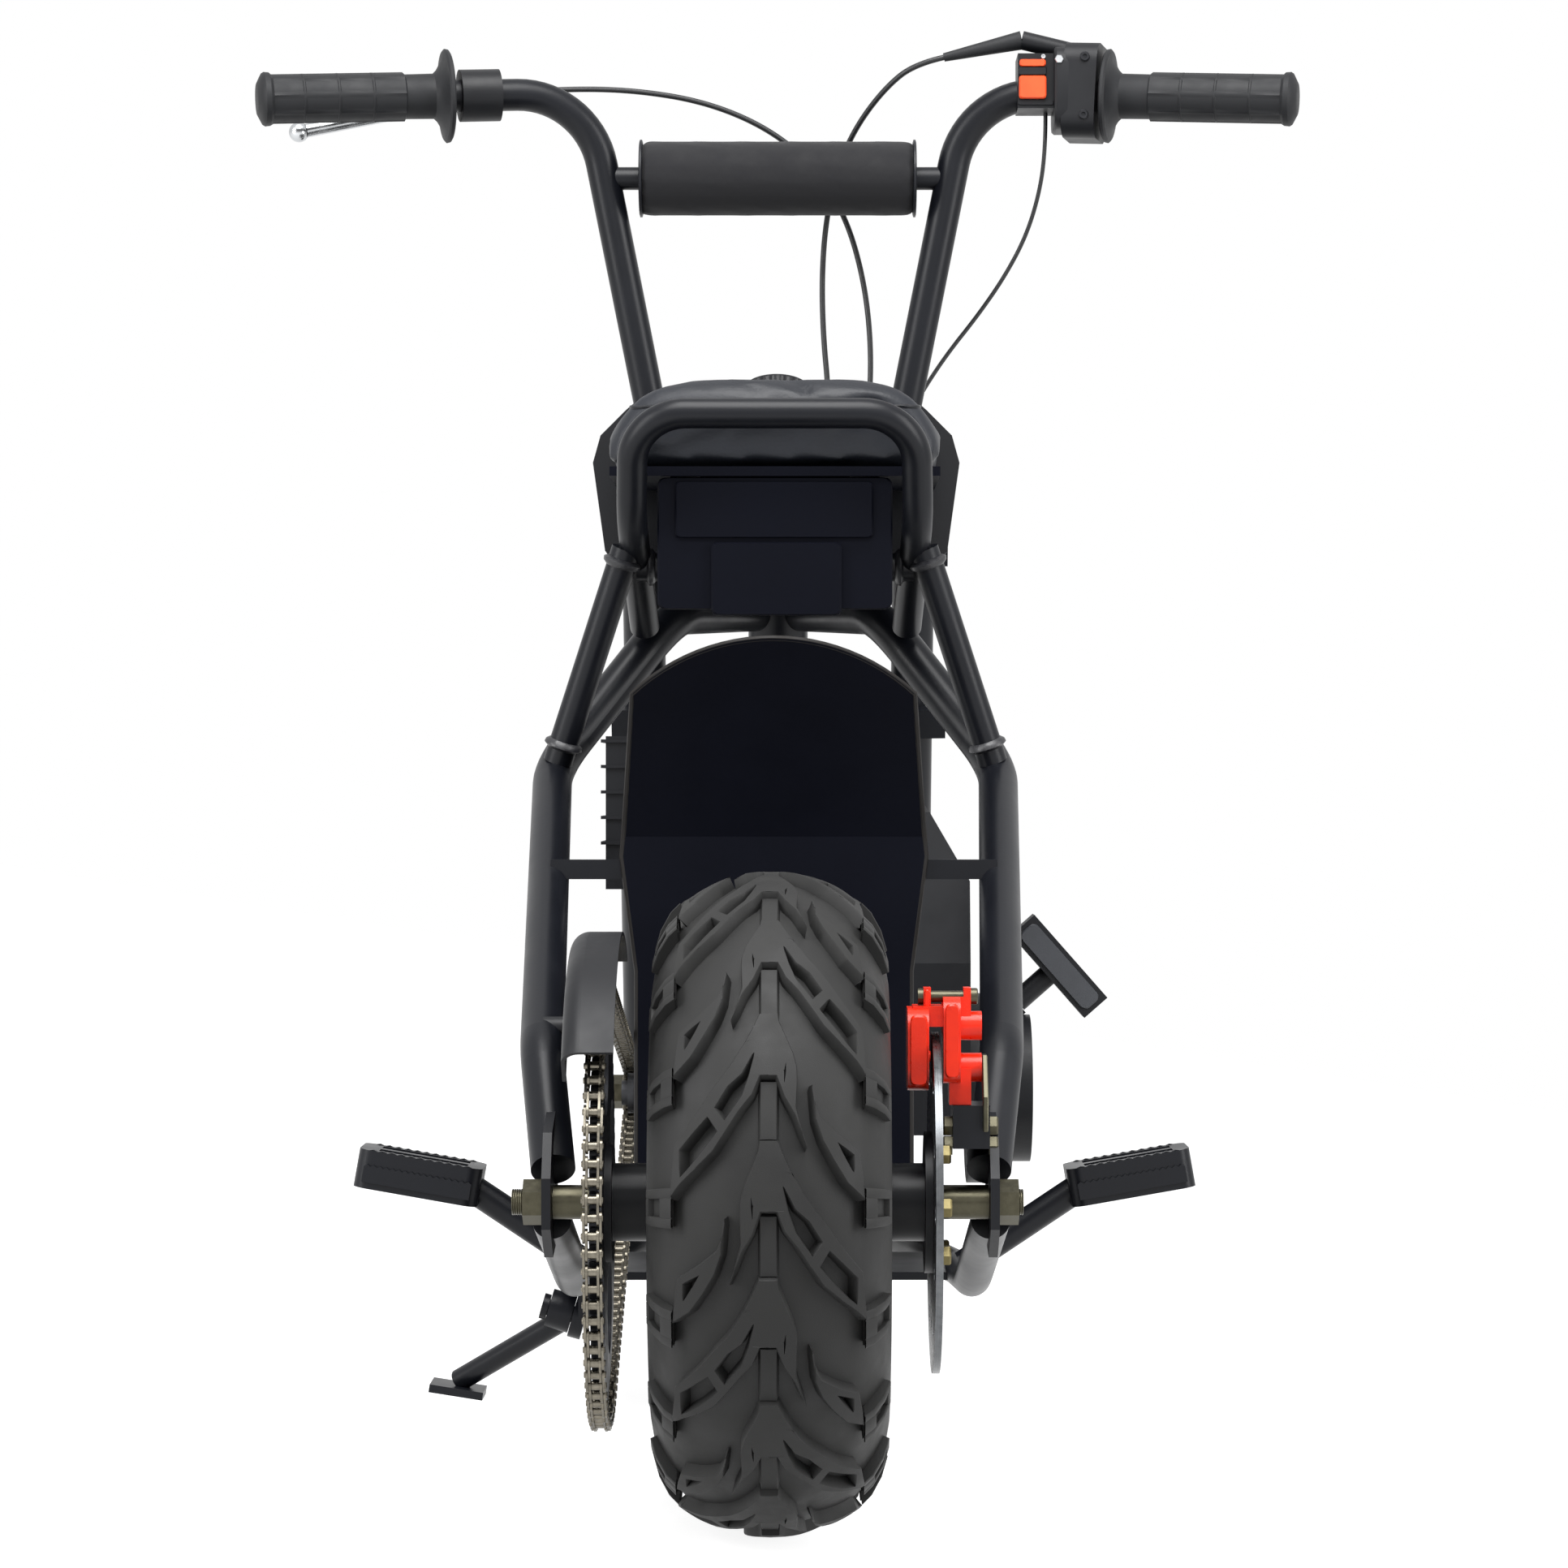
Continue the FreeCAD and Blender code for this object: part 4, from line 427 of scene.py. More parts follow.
# Tyres: a turned carcass with raised lugs laid round it in equal rows, every second one mirrored
LUG_ROWS = 16
FIRST_ROW = 15.3
LUG_HEIGHT = 7.0
LUG_FOOT = -LUG_HEIGHT - 0.6
RIB_TOP = -3.2
CHAMFER_IN, CHAMFER_DOWN, DRAFT = 0.5, 0.7, 1.3
# The outline across: an arc over the tread, then a straight shoulder
CROWN_BEND = 83
TREAD_HALF = 50
SHOULDER_DROP, SHOULDER_SLOPE = 17, 1.62
# Sidewall from the shoulder down to the bead: across and radius
SIDEWALL = [(50.6, 156), (55.2, 149), (60, 140), (63, 131), (64.6, 122), (64.2, 113), (61, 103),
            (57, 96), (56.6, 94), (53.4, 92), (51.8, 89), (50, 86), (50, 77.4)]
TYRE_SIDES = 160
# Lugs and the pockets in them: across, and degrees round from the top of the chevron
CHEVRON = [(5, 0), (8.2, 2.5), (12.5, 5.3), (20.5, 9.6), (28.6, 12.9), (37, 16.9), (49, 22.3),
           (50.4, 27), (51.5, 31.9), (45.5, 29.3), (37, 26.6), (28.6, 24), (21.6, 20.6), (15, 17.4),
           (8.4, 14.8), (4.4, 11.6), (-4, 11.6), (-8.1, 15.2), (-13.6, 18.2), (-20, 23.6),
           (-14.4, 16.9), (-15, 12.2), (-14.8, 9.9), (-12.9, 7.4), (-8.4, 3.9), (-5.4, 1.5),
           (-4.7, 0)]
POCKETS = [[(7.6, 7.5), (13.8, 11.2), (21, 13.2), (27.6, 16.6), (22.8, 18.8), (14.2, 14.9),
            (10.4, 11.3)],
           [(31.6, 18.2), (38.6, 20.6), (45.8, 23.3), (45.6, 28), (37.7, 25.1), (26.8, 20.7)],
           [(-8.9, 9.3), (-8.1, 10.8), (-8.2, 12.6)]]
BOOMERANG = [(-22.7, 12.7), (-24.2, 15.9), (-27.2, 18.2), (-37.7, 21.1), (-47.3, 23.4),
             (-49, 27.5), (-50.3, 32.1), (-40.8, 29.2), (-33.5, 25.4), (-28, 22.2), (-24.4, 18.8)]
BOOMERANG_POCKET = [(-35.9, 22.4), (-44, 24.3), (-44, 27.2)]
RIB = [(-4.9, 12.2), (4.7, 12.2), (4.9, 22.3), (-4.6, 22.3)]


def crown(across):
    """The tyre's outer outline: radius and slope of the surface at a place across it."""
    side = abs(across)
    edge = TYRE_RADIUS - SHOULDER_DROP
    if side <= TREAD_HALF:
        height = math.sqrt(CROWN_BEND ** 2 - side ** 2)
        radius = edge - math.sqrt(CROWN_BEND ** 2 - TREAD_HALF ** 2) + height
        slope = -side / height
    else:
        radius = edge - (side - TREAD_HALF) * SHOULDER_SLOPE
        slope = -SHOULDER_SLOPE
    return radius, slope if across >= 0 else -slope


def on_tyre(across, degrees, lift, centre):
    """A place over the outline, lifted square to it: zero is the lug's tip."""
    radius, slope = crown(across)
    bend = math.atan(slope)
    wide = across - lift * math.sin(bend)
    high = radius + lift * math.cos(bend)
    turn = math.radians(degrees)
    return centre + Vector((wide, -high * math.cos(turn), high * math.sin(turn)))


# A flat sheet holds a lug with so many millimetres for each degree, and is cut into such cells
SHEET_SCALE = 3
SHEET_CELL = 8


def lug_sheet(outer, holes):
    """A flat sheet in the tread's own plane, cut into cells small enough to bend."""
    sheet = bmesh.new()
    loops = [[Vector((across, degrees * SHEET_SCALE, 0)) for across, degrees in ring]
             for ring in [outer] + holes]
    flat = [point for loop in loops for point in loop]
    made = [sheet.verts.new(point) for point in flat]
    for corners in tessellate_polygon(loops):
        sheet.faces.new([made[index] for index in corners])
    for step in range(1, 14):
        for normal, place in (((1, 0, 0), (SHEET_CELL * (step - 7), 0, 0)),
                              ((0, 1, 0), (0, SHEET_CELL * step, 0))):
            bmesh.ops.bisect_plane(sheet, geom=sheet.verts[:] + sheet.edges[:] + sheet.faces[:],
                                   plane_co=place, plane_no=normal, dist=0.0001)
    bmesh.ops.dissolve_limit(sheet, angle_limit=0.001, verts=[], edges=[])
    return sheet


def raise_lug(shape, sheet, centre, start, mirror, top):
    """Lays one flat sheet on the tyre with drafted walls and a small chamfer round its rim."""
    sheet.verts.ensure_lookup_table()
    rim = {}
    for edge in sheet.edges:
        if len(edge.link_faces) == 1:
            middle = edge.link_faces[0].calc_center_median()
            along = (edge.verts[1].co - edge.verts[0].co).normalized()
            outward = Vector((along.y, -along.x, 0))
            if (edge.verts[0].co - middle).dot(outward) < 0:
                outward = -outward
            for vertex in edge.verts:
                rim[vertex.index] = rim.get(vertex.index, Vector()) + outward

    def lay(vertex, lift, grow):
        spot = vertex.co.copy()
        if vertex.index in rim and rim[vertex.index].length > 0.01:
            spot += rim[vertex.index].normalized() * grow
        across = -spot.x if mirror else spot.x
        return shape.verts.new(on_tyre(across, start - spot.y / SHEET_SCALE, lift, centre))

    tops = {vertex.index: lay(vertex, top, -CHAMFER_IN) for vertex in sheet.verts}
    rims = {index: lay(sheet.verts[index], top - CHAMFER_DOWN, 0) for index in rim}
    feet = {index: lay(sheet.verts[index], LUG_FOOT, DRAFT) for index in rim}
    for face in sheet.faces:
        shape.faces.new([tops[vertex.index] for vertex in face.verts])
    for edge in sheet.edges:
        if len(edge.link_faces) == 1:
            first, second = (vertex.index for vertex in edge.verts)
            shape.faces.new((tops[first], tops[second], rims[second], rims[first]))
            shape.faces.new((rims[first], rims[second], feet[second], feet[first]))


# Outlines down the sidewall of a shoulder block's parts: radius and distance across
BLOCK_FLOOR = [(163, 49.5), (158, 53.6), (149, 58.4), (140, 60.8), (138, 58), (157, 49)]
BLOCK_WALL = [(165, 50.5), (160, 55.5), (150, 61), (139, 64.2), (137, 60), (158, 50)]
BLOCK_HEAD = [(165, 50.5), (160.5, 55), (158.5, 56.4), (157, 50)]
BLOCK_FOOT = [(143.5, 62.9), (139, 64.2), (137, 60), (143, 57)]
# The floor of the slot, the walls at both sides and the two ends, each from and to a degree
BLOCK_PARTS = [(7.6, 14.5, BLOCK_FLOOR), (7.4, 9.3, BLOCK_WALL), (12.8, 14.7, BLOCK_WALL),
               (9.1, 13, BLOCK_HEAD), (9.1, 13, BLOCK_FOOT)]
BLOCK_CHAMFER = 0.5


def side_block(shape, centre, start, side):
    """A block on the shoulder with a slot in it, running down onto the sidewall."""
    for low, high, border in BLOCK_PARTS:
        rows = []
        for degrees, inset in ((low, BLOCK_CHAMFER), (low + 0.25, 0), (high - 0.25, 0),
                               (high, BLOCK_CHAMFER)):
            turn = math.radians(start - degrees)
            rows.append([centre + Vector((side * (wide - inset), -radius * math.cos(turn),
                                          radius * math.sin(turn))) for radius, wide in border])
        skin(shape, rows)


def tyre_shape(centre):
    shape = bmesh.new()
    outline = [(-across, radius) for across, radius in reversed(SIDEWALL)]
    for across in range(-TREAD_HALF, TREAD_HALF + 1, 2):
        radius, slope = crown(across)
        bend = math.atan(slope)
        outline.append((across + LUG_HEIGHT * math.sin(bend),
                        radius - LUG_HEIGHT * math.cos(bend)))
    rings = []
    for across, radius in outline + SIDEWALL:
        turns = [2 * math.pi * step / TYRE_SIDES for step in range(TYRE_SIDES)]
        rings.append([centre + Vector((across, -radius * math.cos(turn), radius * math.sin(turn)))
                      for turn in turns])
    skin(shape, rings, caps=False)
    chevron = lug_sheet(CHEVRON, POCKETS)
    boomerang = lug_sheet(BOOMERANG, [BOOMERANG_POCKET])
    rib = lug_sheet(RIB, [])
    for step in range(LUG_ROWS):
        start = FIRST_ROW + 360 / LUG_ROWS * step
        for sheet, top in ((chevron, 0), (boomerang, 0), (rib, RIB_TOP)):
            raise_lug(shape, sheet, centre, start, step % 2 == 1, top)
        for side in (-1, 1):
            side_block(shape, centre, start, side)
    for sheet in (chevron, boomerang, rib):
        sheet.free()
    return shape


# Chain: the run round both sprockets, one link every 9.525 mm
PITCH = 9.525
LINKS = 134
REAR_TEETH, FRONT_TEETH = 80, 11
CHAIN_ACROSS = -93
DRIVE_RISE = 32
HUB = Vector((0, 0, TYRE_RADIUS))
# Roller and pin: distance along the pin and radius
ROLLER = [(0, 2.54), (4.6, 2.54)]
PIN = [(0, 1.5), (0.4, 1.8), (11.6, 1.8), (12, 1.5)]
# Plates: distance from the chain's middle to their inner face, and radius round the pins
INNER_PLATE, OUTER_PLATE = (2.4, 4.3), (3.9, 3.9)
PLATE_THICK = 1.25
WAIST = 0.72
# Pitch radii of the two sprockets
BIG, SMALL = (PITCH / 2 / math.sin(math.pi / teeth) for teeth in (REAR_TEETH, FRONT_TEETH))


def links_round(reach):
    """How many links go round both sprockets when their axes stand so far apart."""
    tilt = math.acos((BIG - SMALL) / reach)
    return (2 * reach * math.sin(tilt) / PITCH + REAR_TEETH * (1 - tilt / math.pi)
            + FRONT_TEETH * tilt / math.pi)


# The distance at which just the right number goes round, from a rough start
REACH = LINKS * PITCH / 3
for attempt in range(12):
    REACH += (LINKS - links_round(REACH)) * PITCH / 2
DRIVE = HUB + Vector((0, math.sqrt(REACH ** 2 - DRIVE_RISE ** 2), DRIVE_RISE))


def on_chain(pitches):
    """The pin after so many links from the top of the rear sprocket."""
    along = (DRIVE - HUB).normalized()
    up = Vector((0, -along.z, along.y))
    tilt = math.acos((BIG - SMALL) / REACH)
    straight = REACH * math.sin(tilt) / PITCH
    round_front = FRONT_TEETH * tilt / math.pi
    over, under = (along * math.cos(tilt) + up * math.sin(tilt) * way for way in (1, -1))
    if pitches < straight:
        return (HUB + over * BIG).lerp(DRIVE + over * SMALL, pitches / straight)
    pitches -= straight
    if pitches < round_front:
        turn = tilt - 2 * math.pi * pitches / FRONT_TEETH
        return DRIVE + (along * math.cos(turn) + up * math.sin(turn)) * SMALL
    pitches -= round_front
    if pitches < straight:
        return (DRIVE + under * SMALL).lerp(HUB + under * BIG, pitches / straight)
    pitches -= straight
    turn = -tilt - 2 * math.pi * pitches / REAR_TEETH
    return HUB + (along * math.cos(turn) + up * math.sin(turn)) * BIG


def plate_border(joint, follow, high):
    """A link plate's outline: half a circle round each pin, and a waist between them."""
    ahead = (follow - joint).normalized()
    lift = Vector((1, 0, 0)).cross(ahead)
    middle = (joint + follow) / 2
    reach = (follow - joint).length / 2
    border = []
    for end, first in ((1, -4), (-1, 4)):
        for step in range(first, first + 9):
            turn = math.radians(step * 22.5)
            border.append(middle + ahead * (end * reach + high * math.cos(turn))
                          + lift * (high * math.sin(turn)))
        border.append(middle + lift * (end * high * WAIST))
    return border


def chain_shape():
    shape = bmesh.new()
    joints = [on_chain(step) for step in range(LINKS)]
    side = Vector((1, 0, 0))
    centre = Vector((CHAIN_ACROSS, 0, 0))
    for step, joint in enumerate(joints):
        for profile, sides in ((ROLLER, 12), (PIN, 10)):
            turned(shape, joint + centre - side * (profile[-1][0] / 2), side, profile, sides)
        place, high = OUTER_PLATE if step % 2 else INNER_PLATE
        border = plate_border(joint, joints[(step + 1) % LINKS], high)
        for mark in (-1, 1):
            near = centre + side * (mark * place)
            far = centre + side * (mark * (place + PLATE_THICK))
            skin(shape, [[point + near for point in border], [point + far for point in border]])
    return shape


# Cables: one smooth line each, through the points of the solid that it stands for
BRAKE_ROUTE = [
    (-182, 659, 899), (-150, 668, 903), (-100, 682, 904), (-50, 692, 897), (-6, 698, 879),
    (28, 701, 851), (49, 703, 815), (61, 701, 772), (66, 698, 727), (65, 694, 684),
    on_axis(60, 50, 180), on_axis(60, 50, 148)]
THROTTLE_ROUTE = [
    (116, 644, 921), (95.5, 646.3, 916.8), (75, 660, 902), (55, 680, 878), (42, 692, 850),
    (34, 698, 815), (31, 700, 775), (32, 699, 732), (36, 696, 690), on_axis(34, 50, 180),
    on_axis(34, 50, 148)]
WIRE_ROUTE = [
    (187, 646, 882), (187, 646, 860), (184, 655, 831), (175, 667, 800), (160, 678, 772),
    (141, 686, 745), (120, 690, 719), (102, 691, 692), (88, 692, 666), on_axis(78, 50, 174),
    on_axis(78, 50, 148)]


def cable(name, route, thick, node):
    """One cord on a route from its control to the upper crown."""
    curve = bpy.data.curves.new(name, "CURVE")
    curve.dimensions = "3D"
    curve.resolution_u = 10
    curve.bevel_depth = thick / 2000
    curve.bevel_resolution = 3
    curve.use_fill_caps = True
    line = curve.splines.new("NURBS")
    line.points.add(len(route) - 1)
    for spot, point in zip(line.points, route):
        spot.co = (*leaned(point), 1)
    line.order_u = 3
    line.use_endpoint_u = True
    made = bpy.data.objects.new(name, curve)
    bpy.context.collection.objects.link(made)
    curve.materials.append(cable_sheath)
    # the smooth line is a little shorter than the straight runs between its points
    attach(made, "steering")
    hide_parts(node)


# Flat and bent work in the upright millimetres
def plate(shape, border, low, high, axis="Y", chamfer=0.8, where=Matrix()):
    """A flat piece with chamfered edges; its border is drawn square to the axis."""
    middle = sum((Vector(point) for point in border), Vector((0, 0))) / len(border)
    rows = []
    for place, inset in ((low, chamfer), (low + chamfer, 0), (high - chamfer, 0), (high, chamfer)):
        row = []
        for point in border:
            pull = middle - Vector(point)
            spot = Vector(point) + pull.normalized() * min(inset, pull.length / 2)
            row.append(where @ (Vector((spot.x, place, spot.y)) if axis == "Y"
                                else Vector((place, spot.x, spot.y))))
        rows.append(row)
    skin(shape, rows)


def rounded(left, low, right, high, corner):
    """A rectangle with round corners."""
    border = []
    for across, up, start in ((right - corner, high - corner, 0),
                              (left + corner, high - corner, 90),
                              (left + corner, low + corner, 180),
                              (right - corner, low + corner, 270)):
        for step in range(5):
            turn = math.radians(start + 22.5 * step)
            border.append((across + corner * math.cos(turn), up + corner * math.sin(turn)))
    return border


def tube(shape, points, radius, sides, closed=False):
    """A round bar through points, open with caps or closed on itself."""
    points = [Vector(point) for point in points]
    last = len(points) - 1
    rings = []
    side = None
    for index, point in enumerate(points):
        before = points[index - 1] if index or closed else point
        after = points[(index + 1) % len(points)] if index < last or closed else point
        along = (after - before).normalized()
        side = side or square_to(along)[0]
        side = (side - along * side.dot(along)).normalized()
        rings.append(ring_of(point, side, along.cross(side), radius, sides))
    if closed:
        rings.append(rings[0])
    skin(shape, rings, caps=not closed)
    bmesh.ops.remove_doubles(shape, verts=shape.verts, dist=0.001)


# Padded pieces: a sewn cover that its foam fills
def upright(point):
    """The opposite of leaned."""
    return LEANED.transposed() @ (point - GROUND) * 1000


def settle(made):
    """Makes what the modifiers show the object's own mesh."""
    graph = bpy.context.evaluated_depsgraph_get()
    made.data = bpy.data.meshes.new_from_object(made.evaluated_get(graph), depsgraph=graph)
    made.modifiers.clear()


FOAM_CELL = 5
FOAM_TRAVEL = 5
FOAM_PRESSURE = 4
CLOTH_FRAMES = 20


def fill_out(made, hold):
    """Even cells, then air pressure on them as cloth, each point held to the room that it has."""
    cells = made.modifiers.new("even_cells", "REMESH")
    cells.mode = "VOXEL"
    cells.voxel_size = FOAM_CELL / 1000
    settle(made)
    before = [vertex.co.copy() for vertex in made.data.vertices]
    cloth = made.modifiers.new("foam_pressure", "CLOTH")
    cloth.settings.use_pressure = True
    cloth.settings.uniform_pressure_force = FOAM_PRESSURE
    cloth.settings.effector_weights.gravity = 0
    for step in range(1, CLOTH_FRAMES + 1):
        bpy.context.scene.frame_set(step)
    settle(made)
    bpy.context.scene.frame_set(1)
    for vertex, start in zip(made.data.vertices, before):
        moved = vertex.co - start
        if moved.length > FOAM_TRAVEL / 1000:
            vertex.co = start + moved.normalized() * (FOAM_TRAVEL / 1000)
    for vertex in made.data.vertices:
        vertex.co = leaned(hold(upright(vertex.co)))
    finer = made.modifiers.new("finer", "SUBSURF")
    finer.levels = finer.render_levels = 1
    settle(made)
    made.data.shade_smooth()


# Half of the seat's section, across and up, from the pan to the middle of its top
SEAT_BASE, SEAT_HALF, SEAT_RISE = 614.8, 108, 52
SEAT_SECTION = [(0, SEAT_BASE), (60, SEAT_BASE), (103, 615), (SEAT_HALF, 618), (106, 629),
                (100, 640), (92.5, 650), (85, 657), (74, 662.5), (54, 665.6), (27, 667.2),
                (0, 667.8)]
# Places along the seat, with how far its sides and its top draw in there
SEAT_STATIONS = [(334, 7, 12), (335.4, 4, 7), (338.5, 1.8, 3.2), (343, 0.6, 1.2), (352, 0, 0),
                 (402, 0, 0), (454, 0, 0), (463, 0.6, 1.2), (467.5, 1.8, 3.2), (470.6, 4, 7),
                 (472, 7, 12)]
# The room that the filled cushion has
SEAT_LOW, SEAT_HIGH = (-111.5, 332.3, 614.1), (111.5, 473.7, 669.4)
SEAM_HEIGHT = 651.5


def seat_ring(ahead, narrow, lower):
    """The whole section at a place along the seat."""
    ring = []
    for across, up in SEAT_SECTION + [(-across, up) for across, up in SEAT_SECTION[-2:0:-1]]:
        ring.append(Vector((across * (1 - narrow / SEAT_HALF), ahead,
                            SEAT_BASE + (up - SEAT_BASE) * (1 - lower / SEAT_RISE))))
    return ring


def seat_room(point):
    return Vector([max(low, min(high, value))
                   for low, high, value in zip(SEAT_LOW, SEAT_HIGH, point)])


def make_seat():
    shape = bmesh.new()
    skin(shape, [seat_ring(*station) for station in SEAT_STATIONS])
    cushion = piece("seat_cushion", shape, seat_vinyl, "chassis", 0, ("seat",))
    fill_out(cushion, seat_room)
    tree = BVHTree.FromObject(cushion, bpy.context.evaluated_depsgraph_get())
    # the seam between the top panel and the side band, laid on the filled cushion
    path = rounded(-90, 334, 90, 472, 9)
    on_skin = []
    for index, point in enumerate(path):
        follow = path[(index + 1) % len(path)]
        for share in range(8):
            across, ahead = (a + (b - a) * share / 8 for a, b in zip(point, follow))
            found = tree.find_nearest(leaned((across, ahead, SEAM_HEIGHT)))
            on_skin.append(upright(found[0]))
    spaced = [on_skin[0]]
    for point in on_skin[1:]:
        if (point - spaced[-1]).length > 2.5:
            spaced.append(point)
    piping = bmesh.new()
    tube(piping, spaced, 1.3, 8, closed=True)
    piece("seat_top_piping", piping, piping_vinyl, "chassis")


PAD_CENTRE = Vector((0, 655.1, 838))
# The room that the filled pad has: half its length, and its radius round the bar
PAD_HALF = 97.8
PAD_CORE, PAD_OUTSIDE = 8.7, 27.2


def pad_room(point):
    away = Vector((0, point.y - PAD_CENTRE.y, point.z - PAD_CENTRE.z))
    if away.length > 0.01:
        away = away.normalized() * max(PAD_CORE, min(PAD_OUTSIDE, away.length))
    return Vector((max(-PAD_HALF, min(PAD_HALF, point.x)), PAD_CENTRE.y + away.y,
                   PAD_CENTRE.z + away.z))


def make_bar_pad():
    shape = bmesh.new()
    turned(shape, PAD_CENTRE, (1, 0, 0),
           [(-96, 10), (-96.4, 20), (-96, 24.4), (-93, 26), (93, 26), (96, 24.4), (96.4, 20),
            (96, 10), (-96, 10)], 48, caps=False)
    bmesh.ops.remove_doubles(shape, verts=shape.verts, dist=0.001)
    cover = piece("bar_pad_cover", shape, pad_cover, "steering", 0, ("bar_pad",))
    fill_out(cover, pad_room)
    seams = bmesh.new()
    for across in (-95.6, 95.6):
        turned(seams, PAD_CENTRE, (1, 0, 0), [(across - 1.2, 25.4), (across - 0.7, 27),
                                             (across + 0.7, 27), (across + 1.2, 25.4)], 48)
    piece("bar_pad_seams", seams, piping_vinyl, "steering")


# Grips: distance from the inner end and radius, with fine lengthwise ribs on the GROOVED radius
BAR_TIP, BAR_KNEE = Vector((355, 600, 885)), Vector((133, 652, 897))
GRIP_LENGTH = 134
GROOVED = 16.4
GRIP_SIDES = 72
GRIP_RIBS, GRIP_RIB_HEIGHT = 8, 0.7
GRIP_PROFILE = [(131, 11.3), (0, 11.3), (0, 30.4), (1, 32), (3, 32.4), (4.2, 31), (5.4, 24),
                (9, 18), (11.5, 15.6), (31.5, 15.4), (32.5, GROOVED), (53.5, GROOVED), (54, 17),
                (55, 17), (55.5, GROOVED), (77.5, GROOVED), (78, 17), (79, 17), (79.5, GROOVED),
                (101.5, GROOVED), (102, 17), (103, 17), (103.5, GROOVED), (123.5, GROOVED),
                (125.5, 18.3), (129, 18.6), (130.6, 17.6), (132, 15), (134, 11)]


def grip_rib(radius, step):
    on_rib = radius == GROOVED and step % (GRIP_SIDES // GRIP_RIBS) == 0
    return GRIP_RIB_HEIGHT if on_rib else 0


def make_grips():
    shape = bmesh.new()
    run = (BAR_TIP - BAR_KNEE).normalized()
    # the closed end stands 3 mm past the bar's own
    inner = BAR_TIP + run * 3 - run * GRIP_LENGTH
    for side in (-1, 1):
        start = Vector((side * inner.x, inner.y, inner.z))
        axis = Vector((side * run.x, run.y, run.z))
        ribbed(shape, start, axis, GRIP_PROFILE, GRIP_SIDES, grip_rib)
    piece("rubber_grips", shape, grip_rubber, "steering", 30, ("grips",))


# Small fittings
DISC_FACE, BOLT_CIRCLE = 92.6, 32
THREAD_STEP = 1.2
THREAD_CREST, THREAD_ROOT = 7.35, 6.9


def make_axle_fittings():
    heads = bmesh.new()
    for step in range(6):
        turn = math.radians(60 * step)
        place = HUB + Vector((DISC_FACE, BOLT_CIRCLE * math.cos(turn),
                              BOLT_CIRCLE * math.sin(turn)))
        bolt(heads, place, (1, 0, 0), 10, 5, 6.5)
    piece("disc_bolt_heads", heads, gold_zinc, "rear_wheel", 30, ("disc_bolts",))

    threads = bmesh.new()
    for side, low, high in ((-1, 137, 143), (1, 137, 139.4)):
        count = int((high - low) / THREAD_STEP)
        profile = [(low + THREAD_STEP / 2 * step, THREAD_CREST if step % 2 else THREAD_ROOT)
                   for step in range(2 * count + 1)]
        turned(threads, HUB, (side, 0, 0), profile, 24)
    piece("rear_axle_threads", threads, zinc, "chassis", 30)


def make_weld_beads():
    beads = bmesh.new()
    for side in (-1, 1):
        high, low = Vector((side * 94, 358, 563)), Vector((side * 139, 385, 428))
        along = (low - high).normalized()
        for place, axis, reach in ((high, along, 8.4), (low, -along, 11)):
            turned(beads, place, axis, [(reach - 2, 9.7), (reach, 12.4), (reach + 2, 12),
                                        (reach + 4, 9.7)], 36)
        bar = Vector((side * 88, 372, 552))
        turned(beads, bar, (-side, 0, 0), [(6.5, 9.2), (8, 12), (10, 11.6), (12, 9.2)], 36)
    # the beads' paler colour is a painted highlight
    piece("seat_frame_weld_beads", beads, weld_painted_highlight, "chassis")


def make_controls():
    rockers = bmesh.new()
    plate(rockers, rounded(167.6, 910.6, 185.6, 915.4, 1.6), 616.2, 620.6, chamfer=0.9)
    plate(rockers, rounded(167.2, 888.2, 186, 904, 2), 615.4, 620.6, chamfer=1.1)
    piece("stop_switch_rockers", rockers, orange_nylon, "steering")
    bands = bmesh.new()
    plate(bands, rounded(166.9, 904.8, 186.2, 910, 1), 617, 620.6, chamfer=0.5)
    plate(bands, rounded(166.6, 884.2, 191.2, 887.4, 1), 618.8, 620.6, chamfer=0.5)
    piece("stop_switch_bands", bands, black_abs, "steering")

    screws = bmesh.new()
    dark_screws = bmesh.new()
    for across, ahead, up, radius, held in ((212, 609.2, 916, 3.4, dark_screws),
                                            (211, 609.2, 876, 3.4, dark_screws),
                                            (184, 620.4, 917.6, 1.8, screws)):
        turned(held, (across, ahead, up), (0, -1, 0),
               [(0, radius), (1.4, radius), (2, radius * 0.82), (2, radius * 0.45),
                (0.9, radius * 0.42)], 20)
    bolt(screws, (194.6, 613.4, 914.6), (0, -1, 0), 5.5, 3)
    piece("control_screws", screws, bright_zinc, "steering", 30)
    piece("housing_screws", dark_screws, dark_steel, "steering", 30)

    half = bmesh.new()
    plate(half, rounded(611.5, 868, 664, 925, 12), 191.6, 202.6, "X", 1.5)
    piece("throttle_housing_half", half, black_abs, "steering")


